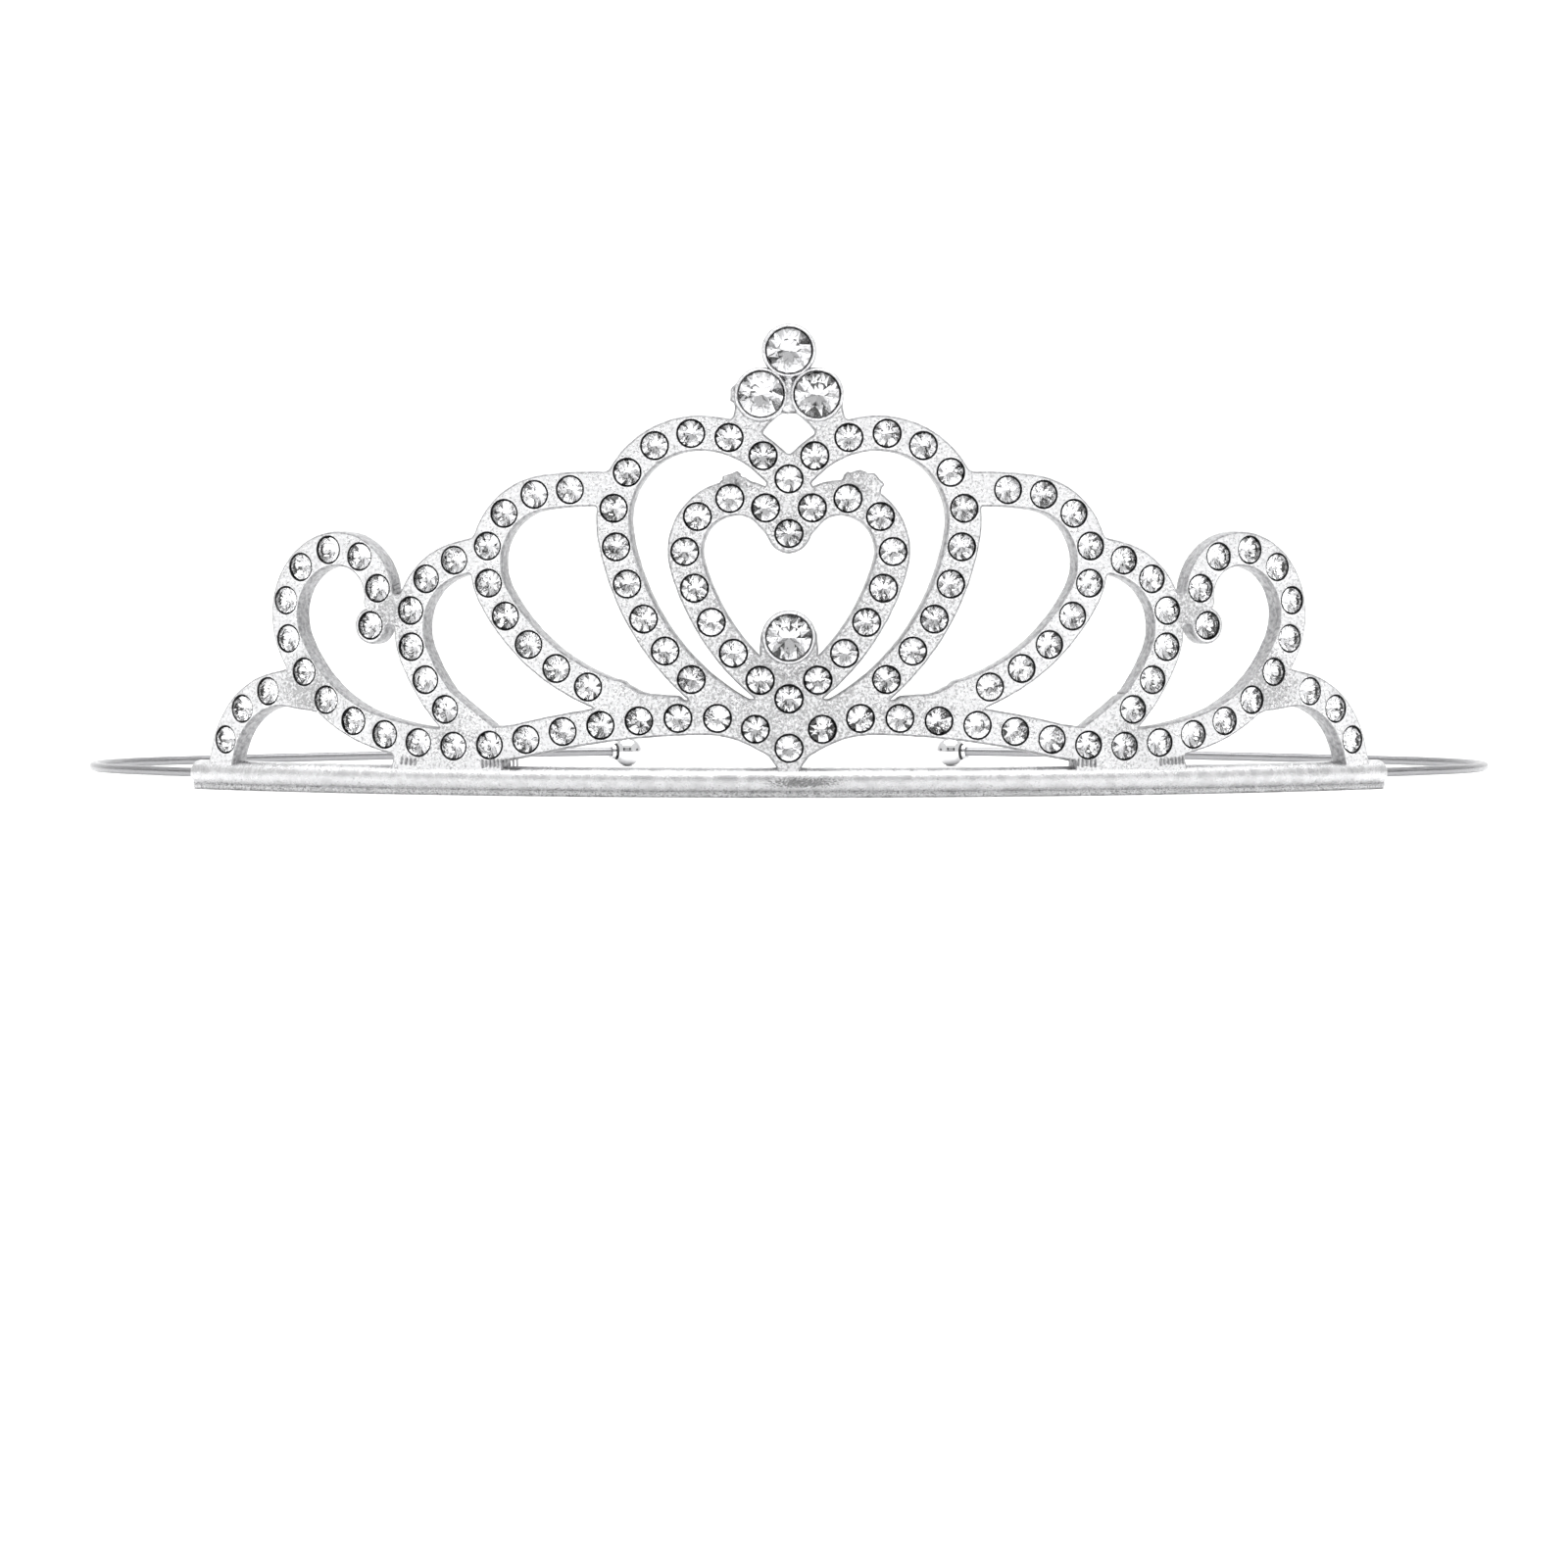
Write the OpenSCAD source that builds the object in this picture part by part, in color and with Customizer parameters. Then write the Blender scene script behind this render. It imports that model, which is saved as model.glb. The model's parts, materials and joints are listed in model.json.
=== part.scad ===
// Princess crown headband: a pierced silver crown set with round cut stones stands on a slim bar,
// and a sprung wire threaded through the bar runs round the head to two ball tips.
// Front is -Y, the wire loop opens towards +Y, and the bar, the wire and the balls lie level on z = 0.

/* [Headband] */
// Radius of the bar's arc round the brow, to the bar's centreline
brow_r = 90; // [80:1:110]
// Length of the bar from its middle to one end, along the arc
bar_half = 68; // [67:0.5:72]
// Diameter of the round bar
bar_d = 2.7; // [2.4:0.1:3.0]
// Width of the lip that runs under the bar
lip_w = 1.7; // [1.2:0.1:1.8]
// Diameter of the sprung steel wire
wire_d = 1.0; // [0.8:0.05:1.2]
// Diameter of the ball on each end of the wire
ball_d = 3.4; // [3.3:0.1:4.0]
// Length of the wire's last run, from the side bend to the ball
wire_tail = 61; // [59:0.5:63]

/* [Crown] */
// Thickness of the pierced crown, front to back
plate_t = 2.0; // [1.8:0.1:2.2]
// Width of the bands that hold the stones
band_w = 3.6; // [3.4:0.1:3.8]
// Outer diameter of the collet round each large stone
collet_d = 5.3; // [5.25:0.05:5.4]
// How far a collet's rim stands proud of the crown's face
collet_rise = 0.9; // [0.5:0.1:1.2]

/* [Stones] */
// Diameter of the small stones
small_d = 2.6; // [2.3:0.1:2.6]
// Diameter of the four large stones
large_d = 4.5; // [4.2:0.1:4.5]
// Gap round a stone in its seat
seat_gap = 0.12; // [0.1:0.01:0.15]

/* [Hidden] */
RIGHT = 1;
LEFT = -1;
RAIL_FIRST = 12;

// Round shapes are smooth enough at this count.
$fn = 64;

// The crown's face is a cylinder. Places on it are written flat, as [across, up]: across is measured
// along the face from its middle, up from the bar's centreline. A band is drawn on the right half and
// mirrored. It starts at [across, up, heading in degrees], and each row of its arcs is
// [length, turn in degrees], where a positive turn bends to the left of the way that it runs.
GREAT_ARCH_START = [0, 30.5, 42];
GREAT_ARCH = [[3, 0], [7.5, -42], [15.5, -100], [26, -58]];
HEART_START = [0, 25, 48];
HEART = [[3, 0], [3, -42], [10.5, -112], [20, -48]];
SECOND_ARCH_START = [17.5, 8.2, 22];
SECOND_ARCH = [[2.5, 0], [14.5, 38], [14, 112], [9, 14]];
THIRD_ARCH_START = [33.6, 4.6, 44];
THIRD_ARCH = [[2, 0], [8, 22], [12, 96], [5, 20]];
RAIL_START = [0, 3.3, 33];
RAIL = [[3.5, -6], [6, -28], [18, -12], [18, 30], [14, 46], [14, 118], [9, 104]];
FOOT_START = [54.5, 9.4, -10];
FOOT = [[3.3, -3], [9, -57], [4, -20]];

// Each row of small stones as [start, arcs, first stone along the band, spacing, how many].
GREAT_ARCH_ROW = [GREAT_ARCH_START, GREAT_ARCH, 3.5, 3.93, 11];
HEART_ROW = [HEART_START, HEART, 3.5, 3.85, 8];
SECOND_ARCH_ROW = [SECOND_ARCH_START, SECOND_ARCH, 3.3, 3.83, 9];
THIRD_ARCH_ROW = [THIRD_ARCH_START, THIRD_ARCH, 3.5, 3.75, 6];
RAIL_ROW = [RAIL_START, RAIL, 3.9, 4.02, 21];
FOOT_ROW = [FOOT_START, FOOT, 3.5, 4.1, 3];

// Small stones on the centre line, and the large stones, as [across, up].
ARCH_CUSP = [0, 30.5];
HEART_CUSP = [0, 25];
HEART_POINT = [0, 8.3];
RAIL_POINT = [0, 3.3];
APEX = [0, 43.4];
CREST = [2.8, 39];
HEART_MIDDLE = [0, 14.5];

// Solid webs between the bands, each as corners [across, up] of a convex patch.
CUSP_WEB = [[-2.4, 29.8], [-2, 27], [0, 23.5], [2, 27], [2.4, 29.8], [0, 32.5]];
POINT_WEB = [[-4, 8], [-3, 5], [0, 2], [3, 5], [4, 8], [0, 10]];
STEM_WEB = [[-1.6, 0.4], [1.6, 0.4], [1.4, 1.8], [1.8, 3.4], [-1.8, 3.4], [-1.4, 1.8]];
COLLET_WEB = [[-3, 12.9], [0, 9], [3, 12.9], [2.5, 15], [-2.5, 15]];
PILLAR_WEB = [[-0.8, 37.4], [0, 37], [0.8, 37.4], [0.5, 41.5], [-0.5, 41.5]];
STRUT_WEB = [[1.2, 37], [2.6, 35.3], [3.4, 34], [6.2, 35.6], [5.2, 38], [2.8, 39]];
CURL_WEB = [[41.2, 15.6], [43.4, 15.6], [43.4, 19], [41.2, 18.8]];
SEAT_WEB = [[29.5, 0.5], [42.5, 0.5], [42, 3], [30, 3]];
ROOT_WEB = [[10.5, 7], [16, 7], [14.8, 8.8], [11.2, 8.6]];
SECOND_WEB = [[14.2, 7], [18, 7], [17.6, 10.1], [16.8, 9.85], [14.6, 8.75]];
THIRD_WEB = [[30.3, 5.2], [34, 4.5], [35.2, 8.75], [32.8, 7.05]];
FOOT_WEB = [[51.3, 6.6], [54.4, 6.9], [56.4, 7.3], [55, 10.5], [52.5, 9]];
// Cast remains on the heart's lobes, one to a side, each in its own place.
NUB_LEFT = [[-6.8, 30], [-4, 29.6], [-4.3, 31.3], [-6.4, 31.7]];
NUB_RIGHT = [[5.4, 29.9], [9.6, 28.8], [10, 31], [7.4, 31.6], [5.8, 31]];

face_r = brow_r + plate_t / 2;
axis_z = ball_d / 2;
seat_r = small_d / 2 + seat_gap;
large_seat_r = large_d / 2 + seat_gap;
rim_r = face_r + collet_rise;
wire_gap = 0.1;
end_r = band_w / 2 + 0.1;
segment = 2.2;
segment_turn = 11;

// Cut of a stone, as shares of its diameter: table width, crown height, girdle height, pavilion depth.
table_share = 0.6;
crown_share = 0.16;
girdle_share = 0.05;
pavilion_share = 0.36;
seat_depth = small_d * (girdle_share + pavilion_share) + 2 * seat_gap;
large_seat_depth = large_d * (girdle_share + pavilion_share) + 2 * seat_gap;

// Half of the wire as [length, turn] rows, from the middle of the brow to the ball.
bar_turn = bar_half * 180 / (PI * brow_r);
WIRE = [[bar_half, bar_turn], [10, 2], [35, 90], [wire_tail, 20]];
wire_end = wire_start(len(WIRE));

// The part is centred on its own depth, from the large stones' tables to the back of the balls.
front_reach = rim_r - brow_r + large_d * crown_share;
mid_depth = (wire_end.y + axis_z - front_reach) / 2;
arc_y = brow_r - mid_depth;

function arc_end(at, length, turn) =
    abs(turn) < 0.01 ? [at.x + length * cos(at.z), at.y + length * sin(at.z), at.z]
    : let (r = length * 180 / (PI * turn))
        [at.x + r * (sin(at.z + turn) - sin(at.z)), at.y - r * (cos(at.z + turn) - cos(at.z)), at.z + turn];

// Place and heading where an arc of the wire starts.
function wire_start(i) = i == 0 ? [0, 0, 0] : arc_end(wire_start(i - 1), WIRE[i - 1][0], WIRE[i - 1][1]);

// Place and heading after a distance along a row of arcs.
function walk(at, arcs, along, i = 0) =
    along <= arcs[i][0] || i == len(arcs) - 1 ? arc_end(at, along, arcs[i][1] * along / arcs[i][0])
    : walk(arc_end(at, arcs[i][0], arcs[i][1]), arcs, along - arcs[i][0], i + 1);

function stone_places(row, first, last) =
    [for (i = [first : last]) let (p = walk(row[0], row[1], row[2] + i * row[3])) [p.x, p.y]];

function all_places(row) = stone_places(row, 0, row[4] - 1);

function angle_of(across) = across * 180 / (PI * face_r);

function on_face(place, r) =
    [r * sin(angle_of(place.x)), arc_y - r * cos(angle_of(place.x)), axis_z + place.y];

function beside(p, offset) = [p.x - offset * sin(p.z), p.y + offset * cos(p.z)];

// Stations along a band, close together where it turns.
function stations(start, arcs, i = 0) =
    i == len(arcs) ? [start]
    : let (n = max(ceil(arcs[i][0] / segment / 1.6), ceil(abs(arcs[i][1]) / segment_turn)))
        concat([for (k = [0 : n - 1]) arc_end(start, arcs[i][0] * k / n, arcs[i][1] * k / n)],
            stations(arc_end(start, arcs[i][0], arcs[i][1]), arcs, i + 1));

// Stands a child on the crown's face, its own +Z pointing out of the face.
module on_crown(place, r = face_r)
    translate([0, arc_y, axis_z + place.y])
        rotate([0, 0, angle_of(place.x)])
            translate([0, -r, 0])
                rotate([90, 0, 0])
                    children();

// A web: its corners are radial edges, listed round its middle. Bands and webs run deeper than the
// crown's thickness on both sides, and the sheet cuts them to it.
module patch(corners) {
    n = len(corners);
    polyhedron(
        [for (r = [brow_r - plate_t, brow_r + plate_t]) for (c = corners) on_face(c, r)],
        concat(
            [[for (i = [0 : n - 1]) i], [for (i = [n - 1 : -1 : 0]) n + i]],
            [for (i = [0 : n - 1]) [i, n + i, n + (i + 1) % n, (i + 1) % n]]
        )
    );
}

// A band: four radial corners at each station, joined from station to station and closed at both ends.
module band(start, arcs) {
    s = stations(start, arcs);
    edges = [[-1, -1], [1, -1], [1, 1], [-1, 1]];
    last = 4 * (len(s) - 1);
    polyhedron(
        [for (p = s) for (e = edges) on_face(beside(p, e.x * band_w / 2), brow_r + e.y * plate_t)],
        concat(
            [[0, 1, 2, 3], [for (i = [3 : -1 : 0]) last + i]],
            [for (i = [0 : len(s) - 2]) for (j = [0 : 3])
                [4 * i + j, 4 * i + 4 + j, 4 * i + 4 + (j + 1) % 4, 4 * i + (j + 1) % 4]]
        )
    );
}

module round_pad(place)
    on_crown(place, brow_r + plate_t)
        translate([0, 0, -2 * plate_t])
            cylinder(h = 2 * plate_t, r = end_r);

module both_sides() {
    children();
    mirror([1, 0, 0]) children();
}

module half() {
    band(GREAT_ARCH_START, GREAT_ARCH);
    band(HEART_START, HEART);
    band(SECOND_ARCH_START, SECOND_ARCH);
    band(THIRD_ARCH_START, THIRD_ARCH);
    band(RAIL_START, RAIL);
    band(FOOT_START, FOOT);
    for (web = [STRUT_WEB, CURL_WEB, SEAT_WEB, ROOT_WEB, SECOND_WEB, THIRD_WEB, FOOT_WEB])
        patch(web);
    round_pad(all_places(RAIL_ROW)[RAIL_ROW[4] - 1]);
}

module bands() {
    both_sides() half();
    for (web = [CUSP_WEB, POINT_WEB, STEM_WEB, COLLET_WEB, PILLAR_WEB, NUB_LEFT, NUB_RIGHT])
        patch(web);
    round_pad(HEART_CUSP);
    round_pad(RAIL_POINT);
}

// The curved sheet that the bands are cut to, smooth enough at this count for its size.
module sheet()
    translate([0, arc_y, axis_z])
        rotate_extrude(angle = 2 * bar_turn, start = -90 - bar_turn, $fn = 160)
            translate([brow_r - plate_t / 2, 0.2])
                square([plate_t, 50]);

// The bands as one body, joined before the seats are cut. The resize changes no size.
module pierced_plate()
    resize([0, 0, 0])
        intersection() {
            bands();
            sheet();
        }

module bar_sweep(turn)
    translate([0, arc_y, 0])
        rotate_extrude(angle = 2 * turn, start = -90 - turn)
            children();

// The round bar with its lip below and the wire's bore, and a rounded end on each side.
module bar() {
    bar_sweep(bar_turn) {
        translate([brow_r, axis_z]) circle(d = bar_d);
        translate([brow_r - lip_w / 2, 0]) square([lip_w, axis_z / 2]);
    }
    both_sides() bar_end();
}

module bar_end() {
    r = bar_d / 2 - 0.01;
    round_r = bar_d / 4;
    corner = [for (a = [0 : 15 : 90]) [r - round_r + round_r * cos(a), round_r * sin(a)]];
    translate([0, arc_y, axis_z])
        rotate([0, 0, bar_turn])
            translate([0, -brow_r, 0])
                rotate([0, 90, 0])
                    rotate_extrude()
                        polygon(concat([[0, -round_r], [r, -round_r]], corner, [[0, round_r]]));
}

module bore()
    bar_sweep(bar_turn + 1)
        translate([brow_r, axis_z])
            circle(d = wire_d + 2 * wire_gap);

module seats() {
    for (row = [GREAT_ARCH_ROW, HEART_ROW, SECOND_ARCH_ROW, THIRD_ARCH_ROW, RAIL_ROW, FOOT_ROW])
        for (p = all_places(row))
            both_sides() seat(p, face_r, seat_r, seat_depth);
    for (p = [ARCH_CUSP, HEART_CUSP, HEART_POINT, RAIL_POINT])
        seat(p, face_r, seat_r, seat_depth);
    for (p = large_places())
        seat(p, rim_r, large_seat_r, large_seat_depth);
}

function large_places() = [APEX, CREST, [-CREST.x, CREST.y], HEART_MIDDLE];

module seat(place, r, radius, depth)
    on_crown(place, r)
        translate([0, 0, -depth])
            cylinder(h = depth + 1, r = radius);

module collets()
    for (p = large_places())
        on_crown(p, rim_r)
            translate([0, 0, -collet_rise - plate_t])
                cylinder(h = collet_rise + plate_t, d = collet_d);

module crown_frame()
    color("silver")
        difference() {
            union() {
                pierced_plate();
                collets();
                bar();
            }
            seats();
            bore();
        }

// One arc of the wire, level, from a place and heading on the right half. A bead a hair thicker than
// the wire covers the joint at its start.
module wire_arc(at, length, turn) {
    r = length * 180 / (PI * turn);
    inset = 0.05 * turn / length;
    translate([at.x - r * sin(at.z), at.y + r * cos(at.z), 0])
        rotate_extrude(angle = turn - 2 * inset, start = at.z - 90 + inset)
            translate([r, 0])
                circle(d = wire_d);
    translate([at.x, at.y, 0])
        sphere(d = wire_d + 0.04);
}

module headband_wire()
    color("dimgray")
        translate([0, -mid_depth, axis_z]) {
            translate([0, brow_r, 0])
                rotate_extrude(angle = 2 * bar_turn, start = -90 - bar_turn)
                    translate([brow_r, 0])
                        circle(d = wire_d);
            both_sides()
                for (i = [1 : len(WIRE) - 1])
                    wire_arc(wire_start(i), WIRE[i][0], WIRE[i][1]);
        }

// A ball with a short collar, bored for the wire's end.
module ball_end()
    color("gainsboro")
        translate([wire_end.x, wire_end.y - mid_depth, axis_z])
            rotate([0, 0, wire_end.z + 180])
                rotate([0, 90, 0])
                    difference() {
                        union() {
                            sphere(d = ball_d);
                            cylinder(h = ball_d / 2 + 0.4, d = wire_d + 0.7);
                        }
                        translate([0, 0, -wire_gap])
                            cylinder(h = ball_d, d = wire_d + 2 * wire_gap);
                    }

function ring(n, r, z, turn = 0) = [for (i = [0 : n - 1]) [r * cos(360 * i / n + turn), r * sin(360 * i / n + turn), z]];

// A round stone with eight crown facets and eight below: table, girdle and point.
module small_stone() {
    r = small_d / 2;
    girdle = small_d * girdle_share;
    points = concat(
        ring(8, r * table_share, small_d * crown_share),
        ring(8, r, 0),
        ring(8, r, -girdle),
        [[0, 0, -girdle - small_d * pavilion_share]]
    );
    polyhedron(points, concat(
        [[for (i = [0 : 7]) 7 - i]],
        [for (k = [0, 8]) for (i = [0 : 7]) [k + i, k + (i + 1) % 8, k + 8 + (i + 1) % 8, k + 8 + i]],
        [for (i = [0 : 7]) [16 + i, 16 + (i + 1) % 8, 24]]
    ));
}

// A large stone: table, eight star and eight kite facets, sixteen girdle facets and sixteen below.
module large_stone() {
    r = large_d / 2;
    crown = large_d * crown_share;
    girdle = large_d * girdle_share;
    points = concat(
        ring(8, r * table_share, crown),
        ring(8, r * (1 + table_share) / 2, crown / 2, 22.5),
        ring(16, r, 0),
        ring(16, r, -girdle),
        [[0, 0, -girdle - large_d * pavilion_share]]
    );
    polyhedron(points, concat(
        [[for (i = [0 : 7]) 7 - i]],
        [for (i = [0 : 7]) [i, (i + 1) % 8, 8 + i]],
        [for (i = [0 : 7]) [i, 8 + i, 16 + 2 * i]],
        [for (i = [0 : 7]) [i, 16 + 2 * i, 8 + (i + 7) % 8]],
        [for (i = [0 : 7]) [8 + i, 17 + 2 * i, 16 + 2 * i]],
        [for (i = [0 : 7]) [8 + i, 16 + (2 * i + 2) % 16, 17 + 2 * i]],
        [for (i = [0 : 15]) [16 + i, 16 + (i + 1) % 16, 32 + (i + 1) % 16, 32 + i]],
        [for (i = [0 : 15]) [32 + i, 32 + (i + 1) % 16, 48]]
    ));
}

// A stone's girdle sits level with the face, or with its collet's rim.
module set_small(place)
    color("white")
        on_crown(place)
            small_stone();

module set_large(place)
    color("white")
        on_crown(place, rim_r)
            large_stone();

module stone_row(places, side)
    for (p = places)
        set_small([side * p.x, p.y]);

module apex_stone() set_large(APEX);
module heart_stone() set_large(HEART_MIDDLE);
module crest_stone(side) set_large([side * CREST.x, CREST.y]);
module great_arch_stones(side) stone_row(all_places(GREAT_ARCH_ROW), side);
module heart_stones(side) stone_row(all_places(HEART_ROW), side);
module second_arch_stones(side) stone_row(all_places(SECOND_ARCH_ROW), side);
module third_arch_stones(side) stone_row(all_places(THIRD_ARCH_ROW), side);
module rail_stones(side) stone_row(stone_places(RAIL_ROW, 0, RAIL_FIRST - 1), side);
module scroll_stones(side) stone_row(stone_places(RAIL_ROW, RAIL_FIRST, RAIL_ROW[4] - 1), side);
module foot_stones(side) stone_row(all_places(FOOT_ROW), side);

crown_frame();
headband_wire();
mirror([1, 0, 0]) ball_end();  // ball_end_left
ball_end();  // ball_end_right
apex_stone();
crest_stone(LEFT);  // crest_stone_left
crest_stone(RIGHT);  // crest_stone_right
heart_stone();
set_small(ARCH_CUSP);  // arch_cusp_stone
set_small(HEART_CUSP);  // heart_cusp_stone
set_small(HEART_POINT);  // heart_point_stone
set_small(RAIL_POINT);  // rail_point_stone
great_arch_stones(LEFT);  // great_arch_stones_left
great_arch_stones(RIGHT);  // great_arch_stones_right
heart_stones(LEFT);  // heart_stones_left
heart_stones(RIGHT);  // heart_stones_right
second_arch_stones(LEFT);  // second_arch_stones_left
second_arch_stones(RIGHT);  // second_arch_stones_right
third_arch_stones(LEFT);  // third_arch_stones_left
third_arch_stones(RIGHT);  // third_arch_stones_right
rail_stones(LEFT);  // rail_stones_left
rail_stones(RIGHT);  // rail_stones_right
scroll_stones(LEFT);  // scroll_stones_left
scroll_stones(RIGHT);  // scroll_stones_right
foot_stones(LEFT);  // foot_stones_left
foot_stones(RIGHT);  // foot_stones_right
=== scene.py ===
"""Crown headband: its casting, bar, collets, stones, wire and ball tips, with their finishes."""

import json
import math

import bmesh
import bpy
import numpy as np
from bpy.props import FloatProperty, FloatVectorProperty, IntProperty, PointerProperty
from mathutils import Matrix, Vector, noise

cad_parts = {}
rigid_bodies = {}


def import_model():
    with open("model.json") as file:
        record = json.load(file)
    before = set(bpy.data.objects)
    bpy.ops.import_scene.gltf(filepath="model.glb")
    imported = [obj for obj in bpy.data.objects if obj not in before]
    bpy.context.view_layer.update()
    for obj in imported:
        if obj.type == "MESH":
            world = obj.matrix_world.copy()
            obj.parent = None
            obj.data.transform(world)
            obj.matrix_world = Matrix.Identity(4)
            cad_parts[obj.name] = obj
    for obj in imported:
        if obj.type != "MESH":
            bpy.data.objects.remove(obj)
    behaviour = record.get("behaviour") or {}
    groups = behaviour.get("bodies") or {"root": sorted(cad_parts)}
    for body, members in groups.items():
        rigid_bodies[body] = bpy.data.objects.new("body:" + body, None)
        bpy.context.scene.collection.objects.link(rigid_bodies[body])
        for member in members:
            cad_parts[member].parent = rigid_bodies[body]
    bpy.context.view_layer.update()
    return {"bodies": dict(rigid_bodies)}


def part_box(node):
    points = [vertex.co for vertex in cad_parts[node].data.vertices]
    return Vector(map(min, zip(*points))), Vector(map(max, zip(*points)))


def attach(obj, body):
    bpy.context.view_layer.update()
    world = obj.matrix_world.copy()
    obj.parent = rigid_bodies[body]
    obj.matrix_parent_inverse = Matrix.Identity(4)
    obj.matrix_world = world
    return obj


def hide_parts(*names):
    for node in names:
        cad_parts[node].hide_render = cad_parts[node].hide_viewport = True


bl_info = {
    "name": "Crown headband",
    "version": (1, 0, 0),
    "blender": (4, 5, 0),
    "location": "View3D > Sidebar > Crown",
    "description": "Builds a rhinestone crown on a wire headband around its packed frame",
    "category": "Object",
}

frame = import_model()
BODY = sorted(frame["bodies"])[0]
MM = 0.001

# The flat drawing of the crown, in millimetres. A place is (across, up): across is measured round the
# face from its middle, up from the bar's centreline. A band starts at (across, up, heading in degrees)
# and runs through arcs of (length, turn in degrees). It is drawn on the right and mirrored.
GREAT_ARCH = ((0, 30.5, 42), ((3, 0), (7.5, -42), (15.5, -100), (26, -58)))
HEART = ((0, 25, 48), ((3, 0), (3, -42), (10.5, -112), (20, -48)))
SECOND_ARCH = ((17.5, 8.2, 22), ((2.5, 0), (14.5, 38), (14, 112), (9, 14)))
THIRD_ARCH = ((33.6, 4.6, 44), ((2, 0), (8, 22), (12, 96), (5, 20)))
RAIL = ((0, 3.3, 33), ((3.5, -6), (6, -28), (18, -12), (18, 30), (14, 46), (14, 118), (9, 104)))
FOOT = ((54.5, 9.4, -10), ((3.3, -3), (9, -57), (4, -20)))
BANDS = (GREAT_ARCH, HEART, SECOND_ARCH, THIRD_ARCH, RAIL, FOOT)

# Rows of small stones: band, first stone's distance along it, spacing, first and last number.
STONE_ROWS = {
    "great_arch_stones": (GREAT_ARCH, 3.5, 3.93, 0, 10),
    "heart_stones": (HEART, 3.5, 3.85, 0, 7),
    "second_arch_stones": (SECOND_ARCH, 3.3, 3.83, 0, 8),
    "third_arch_stones": (THIRD_ARCH, 3.5, 3.75, 0, 5),
    "rail_stones": (RAIL, 3.9, 4.02, 0, 11),
    "scroll_stones": (RAIL, 3.9, 4.02, 12, 20),
    "foot_stones": (FOOT, 3.5, 4.1, 0, 2),
}
SINGLE_STONES = {
    "arch_cusp_stone": (0, 30.5),
    "heart_cusp_stone": (0, 25),
    "heart_point_stone": (0, 8.3),
    "rail_point_stone": (0, 3.3),
}
LARGE_STONES = {
    "apex_stone": (0, 43.4),
    "crest_stone_left": (-2.8, 39),
    "crest_stone_right": (2.8, 39),
    "heart_stone": (0, 14.5),
}

# Webs between the bands, as corners of convex patches: those on the middle, with the rough pillar that
# stands between the crest's stones, those that are mirrored, and the rough remains of the casting.
CREST_PILLAR = ((-0.8, 37.4), (0, 37), (0.8, 37.4), (0.5, 41.5), (-0.5, 41.5))
MIDDLE_WEBS = (
    ((-2.4, 29.8), (-2, 27), (0, 23.5), (2, 27), (2.4, 29.8), (0, 32.5)),
    ((-4, 8), (-3, 5), (0, 2), (3, 5), (4, 8), (0, 10)),
    ((-1.6, 0.4), (1.6, 0.4), (1.4, 1.8), (1.8, 3.4), (-1.8, 3.4), (-1.4, 1.8)),
    ((-3, 12.9), (0, 9), (3, 12.9), (2.5, 15), (-2.5, 15)),
    CREST_PILLAR,
)
SIDE_WEBS = (
    ((1.2, 37), (2.6, 35.3), (3.4, 34), (6.2, 35.6), (5.2, 38), (2.8, 39)),
    ((41.2, 15.6), (43.4, 15.6), (43.4, 19), (41.2, 18.8)),
    ((29.5, 0.5), (42.5, 0.5), (42, 3), (30, 3)),
    ((10.5, 7), (16, 7), (14.8, 8.8), (11.2, 8.6)),
    ((14.2, 7), (18, 7), (17.6, 10.1), (16.8, 9.85), (14.6, 8.75)),
    ((30.3, 5.2), (34, 4.5), (35.2, 8.75), (32.8, 7.05)),
    ((51.3, 6.6), (54.4, 6.9), (56.4, 7.3), (55, 10.5), (52.5, 9)),
)
NUBS = (
    ((-7, 29.6), (-3.9, 29.3), (-4.2, 30.7), (-5.2, 31.2), (-6.6, 31)),
    ((4.7, 29.6), (9.2, 28.6), (9.6, 30.1), (8.9, 30.9), (7.4, 31.4), (5.8, 31.1)),
    ((-5.9, 38.4), (-5.2, 38.1), (-5.1, 39.8), (-5.8, 39.6)),
)

# Crevices between bands and webs that the casting fills, as (place, reach), mirrored.
CREVICES = (((2.05, 11.75), 0.42), ((2.62, 12.25), 0.4), ((43.44, 16.86), 0.42))

# Where the casting was left sandier, as (across, up, reach, how much), mirrored.
SANDY_PLACES = (
    (0, 9, 11, 0.75),
    (0, 18, 18, 0.6),
    (11, 8, 6, 0.5),
    (42.4, 17, 2.6, 0.9),
    (52.6, 9, 3.4, 1.0),
    (35.6, 4.6, 3, 0.6),
    (0, 30, 4, 0.5),
    (6, 30.4, 2.8, 1.0),
)

# Ribbed solder tabs between rail and bar, and the cut sprue on the left scroll, as lines on the drawing
# with how far each stands out of the face.
RIB_LINES = (
    (0.02, ((-41.1, 1.75), (-39.5, 1.65))),
    (0.02, ((-31.9, 1.55), (-28.1, 1.75))),
    (0.02, ((29.1, 1.75), (31.9, 1.6))),
    (0.02, ((39.3, 1.65), (41.9, 1.8))),
    (-0.35, ((-43.3, 21.5), (-41.9, 19.9), (-41.5, 18.6))),
)

# The area that the drawing is cut from, and where the plate and its rounded wall end in the bar.
CROWN_AREA = ((-67.0, -0.4), (67.0, 47.2))
PLATE_FOOT = 0.2
WALL_FOOT = 0.15

# Rows down a stone's seat, as (share of the radius, depth, further out).
SEAT_ROWS = ((1, 0.02, 0.07), (1, -0.03, 0.0), (1, -0.25, 0.0), (1, -1.3, 0.0), (0, -1.3, 0))

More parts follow.
